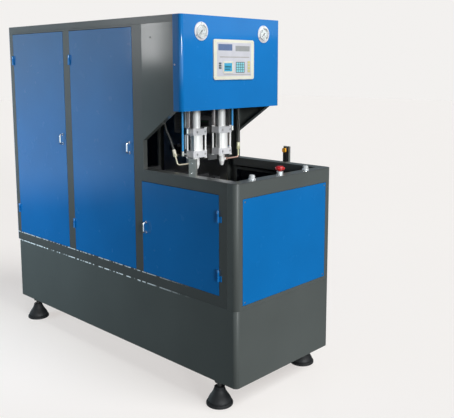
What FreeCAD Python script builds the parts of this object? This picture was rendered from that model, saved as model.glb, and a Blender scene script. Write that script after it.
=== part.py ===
import FreeCAD, Part
import math
import os

from FreeCAD import Vector

# Semi-automatic two-cavity blow moulding machine, in millimetres.
# Origin: centre of the footprint on the floor. +Z up, the front faces -Y, +X is right seen from the front.

# ---------------------------------------------------------------- overall body
body_width = 770.0
body_length = 2090.0
body_height = 1850.0  # underside of the skirt to the top of the hood
foot_height = 140.0  # floor to the underside of the skirt

# Heights above the underside of the skirt
skirt_height = 400.0
table_height = 1035.0

hood_height = 488.0
cheek_drop = 168.0  # how far the slanting lower edge of the head falls towards the cabinet
roof_depth = 38.0

# Depths behind the front face
hood_face_depth = 380.0
head_front_depth = 440.0
cabinet_front_depth = 690.0

corner_radius = 25.0
hood_corner_radius = 18.0

# ---------------------------------------------------------------- sheet metal
frame_sheet = 3.0
skirt_wall = 4.0
door_sheet = 2.0
back_sheet = 2.0
return_depth = 28.0  # folded edge of the frames
rebate_depth = 26.0  # folded edge round each door opening
lip_width = 12.0  # stop lip behind each door
lip_setback = 22.0
fit_clearance = 1.0

# ---------------------------------------------------------------- base skirt and bed
bed_thickness = 16.0
bottom_flange_width = 70.0
bottom_flange_thickness = 6.0
bed_ledge_width = 30.0
bed_ledge_thickness = 6.0

# ---------------------------------------------------------------- levelling feet
foot_inset_side = 40.0
foot_inset_end = 155.0
pad_radius = 70.0
pad_thickness = 16.0
bell_base_radius = 50.0
bell_top = 44.0
neck_radius = 28.0
neck_top = 98.0
stem_radius = 12.0
stem_clearance = 0.25
stem_socket_depth = 40.0
lock_nut_height = 18.0
lock_nut_flats = 50.0
foot_block_width = 64.0
foot_block_height = 30.0
stem_top_gap = 4.0

# ---------------------------------------------------------------- doors and panels
door_gap = 2.0
door_depth = 20.0
rear_post = 45.0
middle_post = 70.0
front_post = 85.0
door_sill = 58.0  # top of the skirt to the doors
tall_door_header = 50.0
lower_door_margin = 118.0
lower_door_post = 67.0  # between the lower and the middle door
lower_door_header = 67.0

hinge_barrel_radius = 6.0
hinge_length = 60.0
hinge_pin_radius = 3.0
hinge_clearance = 0.05
hinge_leaf_width = 20.0
hinge_leaf_thickness = 2.5
hinge_face_gap = 0.3
tall_hinge_inset = 140.0
lower_hinge_inset = 75.0

handle_height = 65.0
handle_reach = 26.0
handle_rod_radius = 4.5
handle_bend_radius = 9.0
handle_foot_radius = 8.0
handle_foot_height = 4.0
handle_inset = 32.0
handle_level = 1145.0
lower_handle_level = 716.0

front_panel_margin = 48.0
front_panel_sill = 21.0
front_panel_header = 80.0
front_panel_gap = 1.5
front_panel_depth = 14.0
front_frame_depth = 60.0
rim_seat_width = 12.0  # folded top edge of the front under the rim

# ---------------------------------------------------------------- table rim
rim_width = 60.0
rim_lip_height = 48.0
control_row_depth = 30.0
control_row_offset = -25.0  # the row sits a little left of the middle
control_spacing = 215.0

# ---------------------------------------------------------------- head
cavity_pitch = 200.0
cavity_depth = 572.0
head_plate_thickness = 20.0
head_plate_lift = 10.0  # above the underside of the hood
head_plate_side_gap = 30.0
head_plate_overhang = 125.0  # behind the stretch cylinder
head_rail_thickness = 8.0
head_rail_width = 60.0
head_rail_height = 55.0

guide_rod_radius = 14.0
guide_rod_rise = 340.0
guide_sleeve_wall = 4.0
bracket_half_length = 150.0
bracket_depth = 40.0

cap_width = 104.0
cap_depth = 78.0
cap_height = 36.0
cap_chamfer = 10.0
barrel_radius = 35.0
barrel_bore = 31.5
tie_rod_radius = 5.0
tie_rod_inset = 10.0
tie_nut_flats = 15.0
tie_nut_height = 6.0
hanger_length = 124.0
hanger_radius = 22.5
hanger_bore = 16.0

hollow_rod_radius = 14.0
rod_clearance = 0.05
hollow_rod_bore = 8.0
hollow_rod_rise = 70.0
piston_clearance = 0.1
piston_height = 20.0
nozzle_stroke = 60.0
nozzle_gap = 5.0  # below the lower cap, at the top of the stroke
piston_end_gap = 4.0
nozzle_radius = 16.5
nozzle_body_height = 38.0
nozzle_tip_radius = 9.5
nozzle_length = 62.0
nozzle_boss_radius = 8.0
nozzle_boss_reach = 30.0

stretch_rod_radius = 6.0
stretch_stroke = 240.0
crosshead_thickness = 26.0
crosshead_lift = 18.0  # crosshead clear of the head plate at the bottom of its stroke
crosshead_half_length = 130.0
crosshead_margin = 20.0
crosshead_arm_half_width = 30.0
stretch_cylinder_setback = 188.0  # behind the cavities
stretch_cylinder_radius = 30.0
stretch_cylinder_bore = 25.0
stretch_cap = 40.0
stretch_cap_width = 72.0
stretch_piston_rod_radius = 8.0
stretch_piston_height = 20.0

# ---------------------------------------------------------------- air lines on the head
pipe_radius = 4.5
pipe_drop = 28.0  # below the top of the nozzle
pipe_reach = 142.0
pipe_bend_radius = 14.0
pipe_rise = 48.0
ferrule_radius = 8.5
ferrule_length = 40.0
ferrule_hex_flats = 20.0
ferrule_hex_height = 14.0
hose_radius = 6.5
hose_socket_length = 24.0
left_hose_setback = 110.0  # its upper socket is behind the cavities
left_pipe_lean = 22.0  # degrees towards the rear
hose_bow = 9.0  # how far a hose bulges outwards

tube_radius = 6.0
fitting_radius = 8.0
fitting_reach = 16.0
fitting_height = 18.0
port_offset = 22.0  # ports before and behind the middle of a cap

# ---------------------------------------------------------------- gauges, operator panel and controls
gauge_spacing = 243.0
gauge_drop = 82.0  # below the top of the hood
gauge_flange_radius = 47.5
gauge_flange_thickness = 3.0
gauge_bezel_radius = 36.0
gauge_bezel_wall = 3.5
gauge_bezel_height = 11.0
gauge_body_radius = 34.0
gauge_body_length = 38.0
gauge_dial_depth = 7.0
gauge_lens_thickness = 2.0
needle_length = 24.0
needle_thickness = 1.0
needle_hub_radius = 3.5
needle_pivot_radius = 1.0
needle_clearance = 0.05
needle_zero = 135.0  # degrees anticlockwise from straight up

operator_panel_width = 315.0
operator_panel_height = 212.0
operator_panel_drop = 225.0
operator_panel_thickness = 6.0
operator_panel_radius = 12.0
operator_box_width = 250.0
operator_box_height = 150.0
operator_box_depth = 45.0

start_bezel_radius = 19.0
start_bezel_height = 10.0
start_button_radius = 15.0
start_button_height = 15.0
button_clearance = 0.3
start_travel = 5.0
control_shank_radius = 11.0
control_shank_length = 30.0
contact_block_width = 30.0
contact_block_height = 36.0
stop_collar_radius = 17.0
stop_collar_height = 22.0
stop_stem_radius = 8.0
stop_cap_radius = 25.0
stop_cap_height = 20.0
stop_travel = 5.0
stop_gap = 6.0  # under the cap
control_well_depth = 9.0
button_end_gap = 0.5

# ---------------------------------------------------------------- safety light sensors
sensor_depth = 310.0
sensor_plate_width = 50.0
sensor_plate_height = 93.0
sensor_plate_thickness = 3.0
sensor_plate_inset = 5.0
sensor_foot_width = 40.0
sensor_hole_radius = 3.5
sensor_body_width = 28.0
sensor_body_thickness = 18.0
sensor_body_height = 86.0
sensor_lens_radius = 6.0
sensor_lens_height = 2.0

# ---------------------------------------------------------------- clamp
platen_width = 560.0
platen_height = 520.0
platen_thickness = 50.0
mould_half_depth = 110.0
clamp_stroke = 180.0
clamp_rod_reach = 418.0  # moving platen to thrust platen, open
moving_platen_lift = 5.0
tie_bar_radius = 20.0
tie_bar_inset = 55.0
tie_bar_clearance = 0.05
tie_bar_nut_flats = 65.0
tie_bar_nut_height = 30.0
mould_hole_radius = 6.0
mould_hole_depth = 30.0
mould_hole_spacing_x = 260.0
mould_hole_spacing_z = 180.0
clamp_cap_width = 240.0
clamp_cap_thickness = 50.0
clamp_barrel_radius = 104.0
clamp_bore_radius = 97.0
clamp_tie_rod_radius = 9.0
clamp_tie_rod_inset = 20.0
clamp_rod_radius = 25.0
clamp_piston_height = 40.0

# ---------------------------------------------------------------- services inside the cabinet
receiver_radius = 130.0
receiver_shell_height = 560.0
receiver_dome = 55.0
receiver_leg_height = 90.0
receiver_leg_size = 30.0
receiver_wall_gap = 60.0

mounting_plate_thickness = 4.0
mounting_plate_height = 710.0
mounting_plate_gap = 22.0  # below the head plate
unit_margin = 60.0
unit_gap = 20.0
unit_row_pitch = 180.0
controller_width = 220.0
controller_height = 110.0
controller_depth = 75.0
supply_width = 90.0
supply_height = 130.0
supply_depth = 95.0
rail_width = 35.0
rail_thickness = 7.0
contactor_count = 5
contactor_pitch = 62.0
contactor_width = 45.0
contactor_height = 82.0
contactor_depth = 81.0
terminal_height = 55.0
terminal_depth = 45.0

manifold_inset = 25.0  # from the left end of the head plate
manifold_width = 70.0
manifold_height = 30.0
manifold_end = 12.0
manifold_rear_gap = 10.0
valve_count = 6
valve_pitch = 34.0
valve_width = 26.0
valve_height = 42.0
valve_margin = 6.0
coil_radius = 9.0
coil_height = 32.0
coil_inset = 16.0

inlet_offset = -200.0
inlet_lift = 160.0  # above the bed
inlet_boss_radius = 18.0
inlet_thread_radius = 10.5
inlet_thread_length = 18.0
inlet_hole_clearance = 1.5
filter_block = 60.0
filter_bowl_radius = 22.0
filter_bowl_length = 80.0
filter_knob_radius = 17.5
filter_knob_height = 40.0

vent_rows = 8
vent_columns = 2
vent_pitch = 36.0
vent_length = 180.0
vent_height = 10.0
vent_drop = 500.0  # below the top of the cabinet
vent_spacing = 260.0

# ---------------------------------------------------------------- derived places
hood_underside = body_height - hood_height
cheek_low_point = hood_underside - cheek_drop
head_plate_underside = hood_underside + head_plate_lift
head_plate_half_width = body_width / 2 - head_plate_side_gap
head_plate_rear = cavity_depth + stretch_cylinder_setback + head_plate_overhang
cylinder_height = 2 * cap_height + piston_height + nozzle_stroke + 2 * piston_end_gap
cylinder_bottom = head_plate_underside - hanger_length - cylinder_height
pipe_level = cylinder_bottom - nozzle_gap - pipe_drop
guide_rod_setback = cap_depth / 2 + bracket_depth / 2
gauge_level = body_height - gauge_drop
operator_panel_level = body_height - operator_panel_drop
fixed_platen_depth = cavity_depth - mould_half_depth - platen_thickness
moving_platen_depth = cavity_depth + mould_half_depth + clamp_stroke
thrust_platen_depth = moving_platen_depth + platen_thickness + clamp_rod_reach
receiver_depth = body_length - back_sheet - receiver_wall_gap - receiver_radius
mounting_plate_top = head_plate_underside - mounting_plate_gap
inlet_level = skirt_height + inlet_lift
vent_bottom = body_height - vent_drop
front_panel_bottom = skirt_height + front_panel_sill
front_panel_top = table_height - front_panel_header
stretch_cylinder_length = 2 * stretch_cap + stretch_piston_height + stretch_stroke + 2 * piston_end_gap
clamp_barrel_length = clamp_piston_height + clamp_stroke + 2 * piston_end_gap
half_width = body_width / 2
half_length = body_length / 2
skirt_bottom = foot_height
bed_top = foot_height + skirt_height
rim_top = foot_height + table_height
roof_seam = foot_height + body_height - roof_depth
body_top = foot_height + body_height
head_plate_bottom = foot_height + head_plate_underside
head_plate_top = head_plate_bottom + head_plate_thickness


def at_depth(depth):
    """Y of a plane that lies this far behind the front face."""
    return depth - half_length


def at_height(height):
    """Z of a level above the underside of the skirt."""
    return foot_height + height


cavity_y = at_depth(cavity_depth)
guide_y = cavity_y + guide_rod_setback
stretch_cylinder_y = cavity_y + stretch_cylinder_setback
left_x = -half_width
cavities = [-cavity_pitch / 2, cavity_pitch / 2]

door_bottom = skirt_height + door_sill
tall_door_top = body_height - tall_door_header
lower_door_top = table_height - lower_door_header
middle_door_start = cabinet_front_depth + front_post
tall_door_width = (body_length - rear_post - middle_post - middle_door_start) / 2
rear_door_start = middle_door_start + tall_door_width + middle_post
lower_door_width = middle_door_start - lower_door_post - lower_door_margin
# first depth, width, bottom, top
rear_door = (rear_door_start, tall_door_width, door_bottom, tall_door_top)
middle_door = (middle_door_start, tall_door_width, door_bottom, tall_door_top)
lower_door = (lower_door_margin, lower_door_width, door_bottom, lower_door_top)
side_doors = [rear_door, middle_door, lower_door]


# ---------------------------------------------------------------- shape helpers
def block(x0, x1, y0, y1, z0, z1):
    """Square-edged block between two corners."""
    return Part.makeBox(x1 - x0, y1 - y0, z1 - z0, Vector(x0, y0, z0))


def rod(radius, start, end):
    """Round bar between two points."""
    start = Vector(*start)
    axis = Vector(*end) - start
    return Part.makeCylinder(radius, axis.Length, start, axis)


def tube(outer, bore, start, end):
    """Round bar with a through bore."""
    return rod(outer, start, end).cut(rod(bore, start, end))


def rounded_block(x0, x1, y0, y1, z0, z1, radius):
    """Block whose four upright edges are rounded."""
    shape = block(x0, x1, y0, y1, z0, z1)
    upright = [e for e in shape.Edges if abs(e.tangentAt(e.FirstParameter).z) > 0.99]
    return shape.makeFillet(radius, upright)


def plate_yz(points, x0, x1):
    """Flat plate with an outline given as (y, z) points, between two X planes."""
    outline = [Vector(x0, y, z) for y, z in points]
    face = Part.Face(Part.makePolygon(outline + outline[:1]))
    return face.extrude(Vector(x1 - x0, 0, 0))


def hexagon(flats, start, end):
    """Hexagonal bar between two points, one pair of flats across the given size."""
    start = Vector(*start)
    axis = Vector(*end) - start
    radius = flats / math.sqrt(3)
    ring = [Vector(radius * math.cos(k * math.pi / 3), radius * math.sin(k * math.pi / 3), 0) for k in range(7)]
    bar = Part.Face(Part.makePolygon(ring)).extrude(Vector(0, 0, axis.Length))
    bar.Placement = FreeCAD.Placement(start, FreeCAD.Rotation(Vector(0, 0, 1), axis))
    return bar


def turned(profile, centre, axis=(0, 0, 1)):
    """Solid of revolution from (radius, height) points about an axis through the centre."""
    points = [Vector(r, 0, h) for r, h in profile]
    solid = Part.Face(Part.makePolygon(points + points[:1])).revolve(Vector(0, 0, 0), Vector(0, 0, 1), 360)
    solid.Placement = FreeCAD.Placement(Vector(*centre), FreeCAD.Rotation(Vector(0, 0, 1), Vector(*axis)))
    return solid


def bent_rod(points, radius, bend):
    """Round rod along straight runs joined by tangent arcs of one radius."""
    corners = [Vector(*p) for p in points]
    edges = []
    start = corners[0]
    for before, corner, after in zip(corners, corners[1:], corners[2:]):
        into = (corner - before).normalize()
        away = (after - corner).normalize()
        turn = into.getAngle(away)
        setback = bend * math.tan(turn / 2)
        first = corner - into * setback
        last = corner + away * setback
        inward = (away - into).normalize()
        middle = corner + inward * (bend / math.cos(turn / 2) - bend)
        edges.append(Part.LineSegment(start, first).toShape())
        edges.append(Part.Arc(first, middle, last).toShape())
        start = last
    edges.append(Part.LineSegment(start, corners[-1]).toShape())
    path = Part.Wire(edges)
    direction = corners[1] - corners[0]
    section = Part.Wire(Part.makeCircle(radius, corners[0], direction))
    return path.makePipeShell([section], True, False), path.Length


def hose(points, radius):
    """Flexible line: each arc as large as its two runs allow."""
    corners = [Vector(*p) for p in points]
    edges = []
    start = corners[0]
    radii = []
    for before, corner, after in zip(corners, corners[1:], corners[2:]):
        into = corner - before
        away = after - corner
        turn = into.getAngle(away)
        setback = 0.45 * min(into.Length, away.Length)
        bend = setback / math.tan(turn / 2)
        radii.append(round(bend, 1))
        into.normalize()
        away.normalize()
        first = corner - into * setback
        last = corner + away * setback
        inward = (away - into).normalize()
        middle = corner + inward * (bend / math.cos(turn / 2) - bend)
        edges.append(Part.LineSegment(start, first).toShape())
        edges.append(Part.Arc(first, middle, last).toShape())
        start = last
    edges.append(Part.LineSegment(start, corners[-1]).toShape())
    path = Part.Wire(edges)
    section = Part.Wire(Part.makeCircle(radius, corners[0], corners[1] - corners[0]))
    solid = path.makePipeShell([section], True, False)
    expected = math.pi * radius**2 * path.Length
    print("hose radii", radii, "length", round(path.Length, 1), "volume ratio", round(solid.Volume / expected, 4))
    return solid


def mirrored(shape):
    """The same piece on the other side of the machine."""
    return shape.mirror(Vector(0, 0, 0), Vector(1, 0, 0))


def fused(first, *others):
    """One solid from overlapping pieces."""
    return first.fuse(list(others)).removeSplitter()


# ---------------------------------------------------------------- base
def foot_places():
    """Centres of the four levelling feet."""
    x = half_width - foot_inset_side
    y = half_length - foot_inset_end
    return [(sx * x, sy * y) for sx in (-1, 1) for sy in (-1, 1)]


def base_skirt():
    """Welded tray: walls, inward bottom flange, ledge for the bed and a tapped block over each foot."""
    top = bed_top
    inner_radius = corner_radius - skirt_wall
    outer = rounded_block(-half_width, half_width, -half_length, half_length, skirt_bottom, top, corner_radius)

    def inside(inset, z0, z1):
        w = half_width - inset
        d = half_length - inset
        return rounded_block(-w, w, -d, d, z0, z1, inner_radius)

    tray = outer.cut(inside(skirt_wall, skirt_bottom + bottom_flange_thickness, top))
    tray = tray.cut(inside(bottom_flange_width, skirt_bottom, skirt_bottom + bottom_flange_thickness))
    ledge_top = top - bed_thickness
    ledge_bottom = ledge_top - bed_ledge_thickness
    ledge = inside(skirt_wall, ledge_bottom, ledge_top).cut(
        inside(skirt_wall + bed_ledge_width, ledge_bottom, ledge_top)
    )
    tray = tray.fuse(ledge)
    block_bottom = skirt_bottom + bottom_flange_thickness
    half = foot_block_width / 2
    reach = foot_inset_side - skirt_wall
    for x, y in foot_places():
        out = reach if x > 0 else half
        into = half if x > 0 else reach
        pad = block(x - into, x + out, y - half, y + half, block_bottom, block_bottom + foot_block_height)
        tray = tray.fuse(pad)
    for x, y in foot_places():
        bore = rod(
            stem_radius + stem_clearance,
            (x, y, skirt_bottom),
            (x, y, block_bottom + foot_block_height),
        )
        tray = tray.cut(bore)
    return tray.removeSplitter()


def machine_bed():
    """Thick plate that lies on the ledge, flush with the top of the skirt."""
    inset = skirt_wall + fit_clearance
    w = half_width - inset
    d = half_length - inset
    return rounded_block(-w, w, -d, d, bed_top - bed_thickness, bed_top, corner_radius - inset)


def foot_pads():
    """Moulded foot: a wide disc, a bell and a neck with a socket for the stem."""
    profile = [
        (0, 0),
        (pad_radius - 3, 0),
        (pad_radius, 3),
        (pad_radius, pad_thickness - 4),
        (pad_radius - 5, pad_thickness),
        (bell_base_radius, pad_thickness + 3),
        ((bell_base_radius + neck_radius) / 2, (pad_thickness + bell_top) / 2 - 3),
        (neck_radius, bell_top),
        (neck_radius, neck_top - 3),
        (neck_radius - 3, neck_top),
        (stem_radius + stem_clearance, neck_top),
        (stem_radius + stem_clearance, neck_top - stem_socket_depth),
        (0, neck_top - stem_socket_depth),
    ]
    return [turned(profile, (x, y, 0)) for x, y in foot_places()]


def foot_stems():
    """Threaded stem with a lock nut that bears on the underside of the skirt."""
    stems = []
    bottom = neck_top - stem_socket_depth
    top = skirt_bottom + bottom_flange_thickness + foot_block_height + stem_top_gap
    for x, y in foot_places():
        stem = rod(stem_radius, (x, y, bottom), (x, y, top))
        nut = hexagon(lock_nut_flats, (x, y, skirt_bottom - lock_nut_height), (x, y, skirt_bottom))
        stems.append(fused(stem, nut))
    return stems


# ---------------------------------------------------------------- side frames
def folded_frame(outline, openings):
    """Left-hand sheet frame: skin, folded outer edges and a rebated edge round each opening.

    The outline is given as (y, z) points, each opening as (depth, width, bottom, top) of its door.
    """
    full = plate_yz(outline, left_x, left_x + return_depth)
    centre = Part.Face(Part.makePolygon([Vector(0, y, z) for y, z in outline + outline[:1]]))
    inner_wire = centre.OuterWire.makeOffset2D(-frame_sheet)
    hollow = Part.Face(inner_wire)
    hollow.translate(Vector(left_x + frame_sheet, 0, 0))
    frame = full.cut(hollow.extrude(Vector(return_depth, 0, 0)))

    def window(door, grow, x0, x1):
        depth, width, bottom, top = door
        return block(
            x0,
            x1,
            at_depth(depth) - grow,
            at_depth(depth + width) + grow,
            at_height(bottom) - grow,
            at_height(top) + grow,
        )

    for door in openings:
        rebate = window(door, door_gap + frame_sheet, left_x, left_x + rebate_depth)
        frame = frame.fuse(rebate)
        frame = frame.cut(window(door, door_gap, left_x - 1, left_x + lip_setback))
        frame = frame.cut(window(door, -lip_width, left_x, left_x + rebate_depth + 1))
        frame = frame.cut(window(door, door_gap, left_x + lip_setback + frame_sheet, left_x + rebate_depth + 1))
    return frame.removeSplitter()


def side_outline():
    """Outline of a side frame: low under the table, tall behind it."""
    front = at_depth(front_frame_depth)
    step = at_depth(cabinet_front_depth)
    rear = half_length - back_sheet
    table_underside = rim_top - frame_sheet
    return [
        (front, bed_top),
        (rear, bed_top),
        (rear, roof_seam),
        (step, roof_seam),
        (step, table_underside),
        (front, table_underside),
    ]


def cheek_outline():
    """Outline of the head's side panel with its slanting lower edge."""
    front = at_depth(head_front_depth)
    rear = at_depth(cabinet_front_depth)
    return [
        (front, at_height(hood_underside)),
        (rear, at_height(cheek_low_point)),
        (rear, roof_seam),
        (front, roof_seam),
    ]


def head_side_panels():
    """Grey panels on both sides of the head, each with the rail that carries the head plate."""
    panel = folded_frame(cheek_outline(), [])
    front = at_depth(head_front_depth) + frame_sheet
    rear = at_depth(cabinet_front_depth) - frame_sheet
    shelf = block(
        left_x + frame_sheet,
        left_x + frame_sheet + head_rail_width,
        front,
        rear,
        head_plate_bottom - head_rail_thickness,
        head_plate_bottom,
    )
    upright = block(
        left_x + frame_sheet,
        -head_plate_half_width - fit_clearance,
        front,
        rear,
        head_plate_bottom,
        head_plate_bottom + head_rail_height,
    )
    upright = upright.cut(
        block(
            left_x + frame_sheet + head_rail_thickness,
            0,
            front,
            rear,
            head_plate_bottom,
            head_plate_bottom + head_rail_height,
        )
    )
    panel = fused(panel, shelf, upright)
    return [panel, mirrored(panel)]


# ---------------------------------------------------------------- doors
def door_pan(door, pan_depth):
    """Folded pan that sits flush in its opening on the left side."""
    depth, width, bottom, top = door
    y0 = at_depth(depth)
    y1 = at_depth(depth + width)
    z0 = at_height(bottom)
    z1 = at_height(top)
    pan = block(left_x, left_x + pan_depth, y0, y1, z0, z1)
    hollow = block(
        left_x + door_sheet,
        left_x + pan_depth + 1,
        y0 + door_sheet,
        y1 - door_sheet,
        z0 + door_sheet,
        z1 - door_sheet,
    )
    return pan.cut(hollow)


def hinge_places(door, hinged_at_rear, inset):
    """Axis x, axis y, and the bottoms of the two hinges of a left-hand door."""
    depth, width, bottom, top = door
    x = left_x - hinge_barrel_radius - hinge_face_gap
    if hinged_at_rear:
        y = at_depth(depth + width) + door_gap / 2
    else:
        y = at_depth(depth) - door_gap / 2
    lows = [at_height(bottom + inset), at_height(top - inset) - hinge_length]
    return x, y, lows


def hinge_half(x, y, z0, z1, towards):
    """Welded barrel half with a short leaf that lies on the sheet."""
    barrel = rod(hinge_barrel_radius, (x, y, z0), (x, y, z1))
    y0, y1 = sorted((y, y + towards * hinge_leaf_width))
    leaf = block(left_x - hinge_leaf_thickness, left_x, y0, y1, z0, z1)
    trim = block(left_x - hinge_leaf_thickness, left_x, y - door_gap, y + door_gap, z0, z1)
    neck = block(x, left_x - hinge_face_gap, y - door_gap, y + door_gap, z0, z1)
    return fused(barrel, leaf.cut(trim), neck)


def hung_door(door, hinged_at_rear, inset):
    """Door pan with the upper halves of its two hinges."""
    x, y, lows = hinge_places(door, hinged_at_rear, inset)
    towards = -1 if hinged_at_rear else 1
    pan = door_pan(door, door_depth)
    for low in lows:
        middle = low + hinge_length / 2
        half = hinge_half(x, y, middle + hinge_face_gap, low + hinge_length, towards)
        half = half.cut(
            rod(hinge_pin_radius + hinge_clearance, (x, y, middle), (x, y, low + hinge_length - hinge_pin_radius))
        )
        pan = pan.fuse(half)
    return pan.removeSplitter()


def frame_hinge_halves():
    """Lower halves of all hinges, each with its pin, welded to the side frame."""
    halves = []
    for door, hinged_at_rear, inset in door_hanging:
        x, y, lows = hinge_places(door, hinged_at_rear, inset)
        away = 1 if hinged_at_rear else -1
        for low in lows:
            middle = low + hinge_length / 2
            half = hinge_half(x, y, low, middle, away)
            pin_top = low + hinge_length - 2 * hinge_pin_radius
            halves.append(fused(half, rod(hinge_pin_radius, (x, y, low), (x, y, pin_top))))
    return halves


door_hanging = [
    (rear_door, True, tall_hinge_inset),
    (middle_door, True, tall_hinge_inset),
    (lower_door, False, lower_hinge_inset),
]


def bow_handle(y, level):
    """Bow handle: a bent bar on two round feet."""
    low = at_height(level) - handle_height / 2 + handle_rod_radius
    high = low + handle_height - 2 * handle_rod_radius
    face = left_x
    out = face - handle_reach + handle_rod_radius
    bar, _ = bent_rod(
        [(face, y, low), (out, y, low), (out, y, high), (face, y, high)],
        handle_rod_radius,
        handle_bend_radius,
    )
    feet = [rod(handle_foot_radius, (face, y, z), (face - handle_foot_height, y, z)) for z in (low, high)]
    return fused(bar, *feet)


def right_side_panels():
    """Three screwed panels that close the right side, the size of the doors opposite, bearing on their lips."""
    return [mirrored(door_pan(door, lip_setback)) for door in side_doors]


# ---------------------------------------------------------------- front
def front_frame():
    """Folded front with rounded posts and a rebated opening for its panel."""
    top = rim_top - frame_sheet
    rear = at_depth(front_frame_depth)

    def shell(inset, z0, z1):
        w = half_width - inset
        front = -half_length + inset
        body = rounded_block(-w, w, front, front + 4 * front_frame_depth, z0, z1, corner_radius - inset)
        return body.common(block(-w, w, front, rear, z0, z1))

    frame = shell(0, bed_top, top).cut(shell(frame_sheet, bed_top + frame_sheet, top - frame_sheet))
    inner_w = half_width - return_depth
    frame = frame.cut(block(-inner_w, inner_w, -half_length + return_depth, rear, bed_top, top))
    frame = frame.cut(block(-inner_w, inner_w, -half_length + rim_seat_width, rear, top - frame_sheet, top))
    for sign in (-1, 1):
        x0, x1 = sorted((sign * (half_width - frame_sheet), sign * inner_w))
        post_return = block(x0, x1, rear - frame_sheet, rear, bed_top, top)
        frame = frame.fuse(post_return)

    def window(grow, y0, y1):
        w = half_width - front_panel_margin + grow
        return block(-w, w, y0, y1, at_height(front_panel_bottom) - grow, at_height(front_panel_top) + grow)

    face = -half_length
    lip = face + front_panel_depth
    back = lip + frame_sheet
    frame = frame.fuse(window(front_panel_gap + frame_sheet, face, back))
    frame = frame.cut(window(front_panel_gap, face - 1, lip))
    frame = frame.cut(window(-lip_width, face, back + 1))
    return frame.removeSplitter()


def front_panel():
    """Folded pan in the front opening, its edges bearing on the lip."""
    w = half_width - front_panel_margin
    face = -half_length
    z0 = at_height(front_panel_bottom)
    z1 = at_height(front_panel_top)
    pan = block(-w, w, face, face + front_panel_depth, z0, z1)
    s = door_sheet
    hollow = block(-w + s, w - s, face + s, face + front_panel_depth + 1, z0 + s, z1 - s)
    return pan.cut(hollow)


def control_places():
    """Left start button, right start button and emergency stop, on the front rim."""
    y = at_depth(control_row_depth)
    left = (control_row_offset - control_spacing, y)
    right = (control_row_offset + control_spacing, y)
    return left, right, (control_row_offset, y)


def table_rim():
    """Folded rim round three sides of the pit, with holes for the controls."""
    rear = at_depth(cabinet_front_depth)
    top = rounded_block(
        -half_width, half_width, -half_length, 2 * rear + half_length, rim_top - frame_sheet, rim_top, corner_radius
    )
    top = top.common(block(-half_width, half_width, -half_length, rear, rim_top - frame_sheet, rim_top))
    inner_w = half_width - rim_width
    inner_front = -half_length + rim_width
    lip = block(
        -inner_w - frame_sheet,
        inner_w + frame_sheet,
        inner_front - frame_sheet,
        rear,
        rim_top - rim_lip_height,
        rim_top,
    )
    rim = top.fuse(lip).cut(block(-inner_w, inner_w, inner_front, rear + 1, rim_top - rim_lip_height - 1, rim_top + 1))
    for x, y in control_places():
        rim = rim.cut(
            rod(control_shank_radius + stem_clearance, (x, y, rim_top - frame_sheet - 1), (x, y, rim_top + 1))
        )
    return rim.removeSplitter()


# ---------------------------------------------------------------- cabinet covers
def cabinet_roof():
    """Shallow pan over the cabinet and the head."""
    front = at_depth(head_front_depth)
    pan = block(-half_width, half_width, front, half_length, roof_seam, body_top)
    s = frame_sheet
    hollow = block(-half_width + s, half_width - s, front + s, half_length - s, roof_seam - 1, body_top - s)
    return pan.cut(hollow)


def vent_slots():
    """Places of the vent slots, as (x of the middle, z of the bottom)."""
    columns = [(c - (vent_columns - 1) / 2) * vent_spacing for c in range(vent_columns)]
    return [(x, at_height(vent_bottom) + row * vent_pitch) for x in columns for row in range(vent_rows)]


def back_panel():
    """Screwed sheet over the whole back, with hooded vent slots and the hole for the air inlet."""
    y0 = half_length - back_sheet
    panel = block(-half_width, half_width, y0, half_length, bed_top, roof_seam)
    for x, z in vent_slots():
        half = vent_length / 2
        panel = panel.cut(block(x - half, x + half, y0 - 1, half_length + 1, z, z + vent_height))
        blade = plate_yz(
            [
                (y0, z + vent_height),
                (y0, z + vent_height + back_sheet),
                (y0 - vent_height, z + back_sheet),
                (y0 - vent_height, z),
            ],
            x - half,
            x + half,
        )
        panel = panel.fuse(blade)
    hole_radius = inlet_boss_radius + inlet_hole_clearance
    z = at_height(inlet_level)
    panel = panel.cut(rod(hole_radius, (inlet_offset, y0 - 1, z), (inlet_offset, half_length + 1, z)))
    return panel.removeSplitter()


def gauge_places():
    """Centres of the two gauges on the hood's face."""
    z = at_height(gauge_level)
    return [(-gauge_spacing, z), (gauge_spacing, z)]


def head_hood():
    """Folded hood with rounded upright corners and openings for the gauges and the operator panel."""
    front = at_depth(hood_face_depth)
    rear = at_depth(head_front_depth)
    bottom = at_height(hood_underside)

    def shell(inset, z0, z1):
        w = half_width - inset
        radius = hood_corner_radius - inset
        body = rounded_block(-w, w, front + inset, front + inset + 4 * hood_corner_radius, z0, z1, radius)
        return body

    depth = rear - front
    cover = shell(0, bottom, body_top)
    cover = cover.fuse(
        block(-half_width, half_width, front + 2 * hood_corner_radius, rear, bottom, body_top)
    ).common(block(-half_width, half_width, front, front + depth, bottom, body_top))
    s = frame_sheet
    inner = shell(s, bottom + s, body_top - s).fuse(
        block(-half_width + s, half_width - s, front + 2 * hood_corner_radius, rear + 1, bottom + s, body_top - s)
    )
    cover = cover.cut(inner)
    mouth = block(
        -half_width + return_depth,
        half_width - return_depth,
        front + return_depth,
        rear + 1,
        bottom - 1,
        bottom + s + 1,
    )
    cover = cover.cut(mouth)
    for x, z in gauge_places():
        cover = cover.cut(
            rod(gauge_body_radius + fit_clearance, (x, front - 1, z), (x, front + s + 1, z))
        )
    w = operator_box_width / 2 + fit_clearance
    h = operator_box_height / 2 + fit_clearance
    z = at_height(operator_panel_level)
    cover = cover.cut(block(-w, w, front - 1, front + s + 1, z - h, z + h))
    return cover.removeSplitter()


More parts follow.
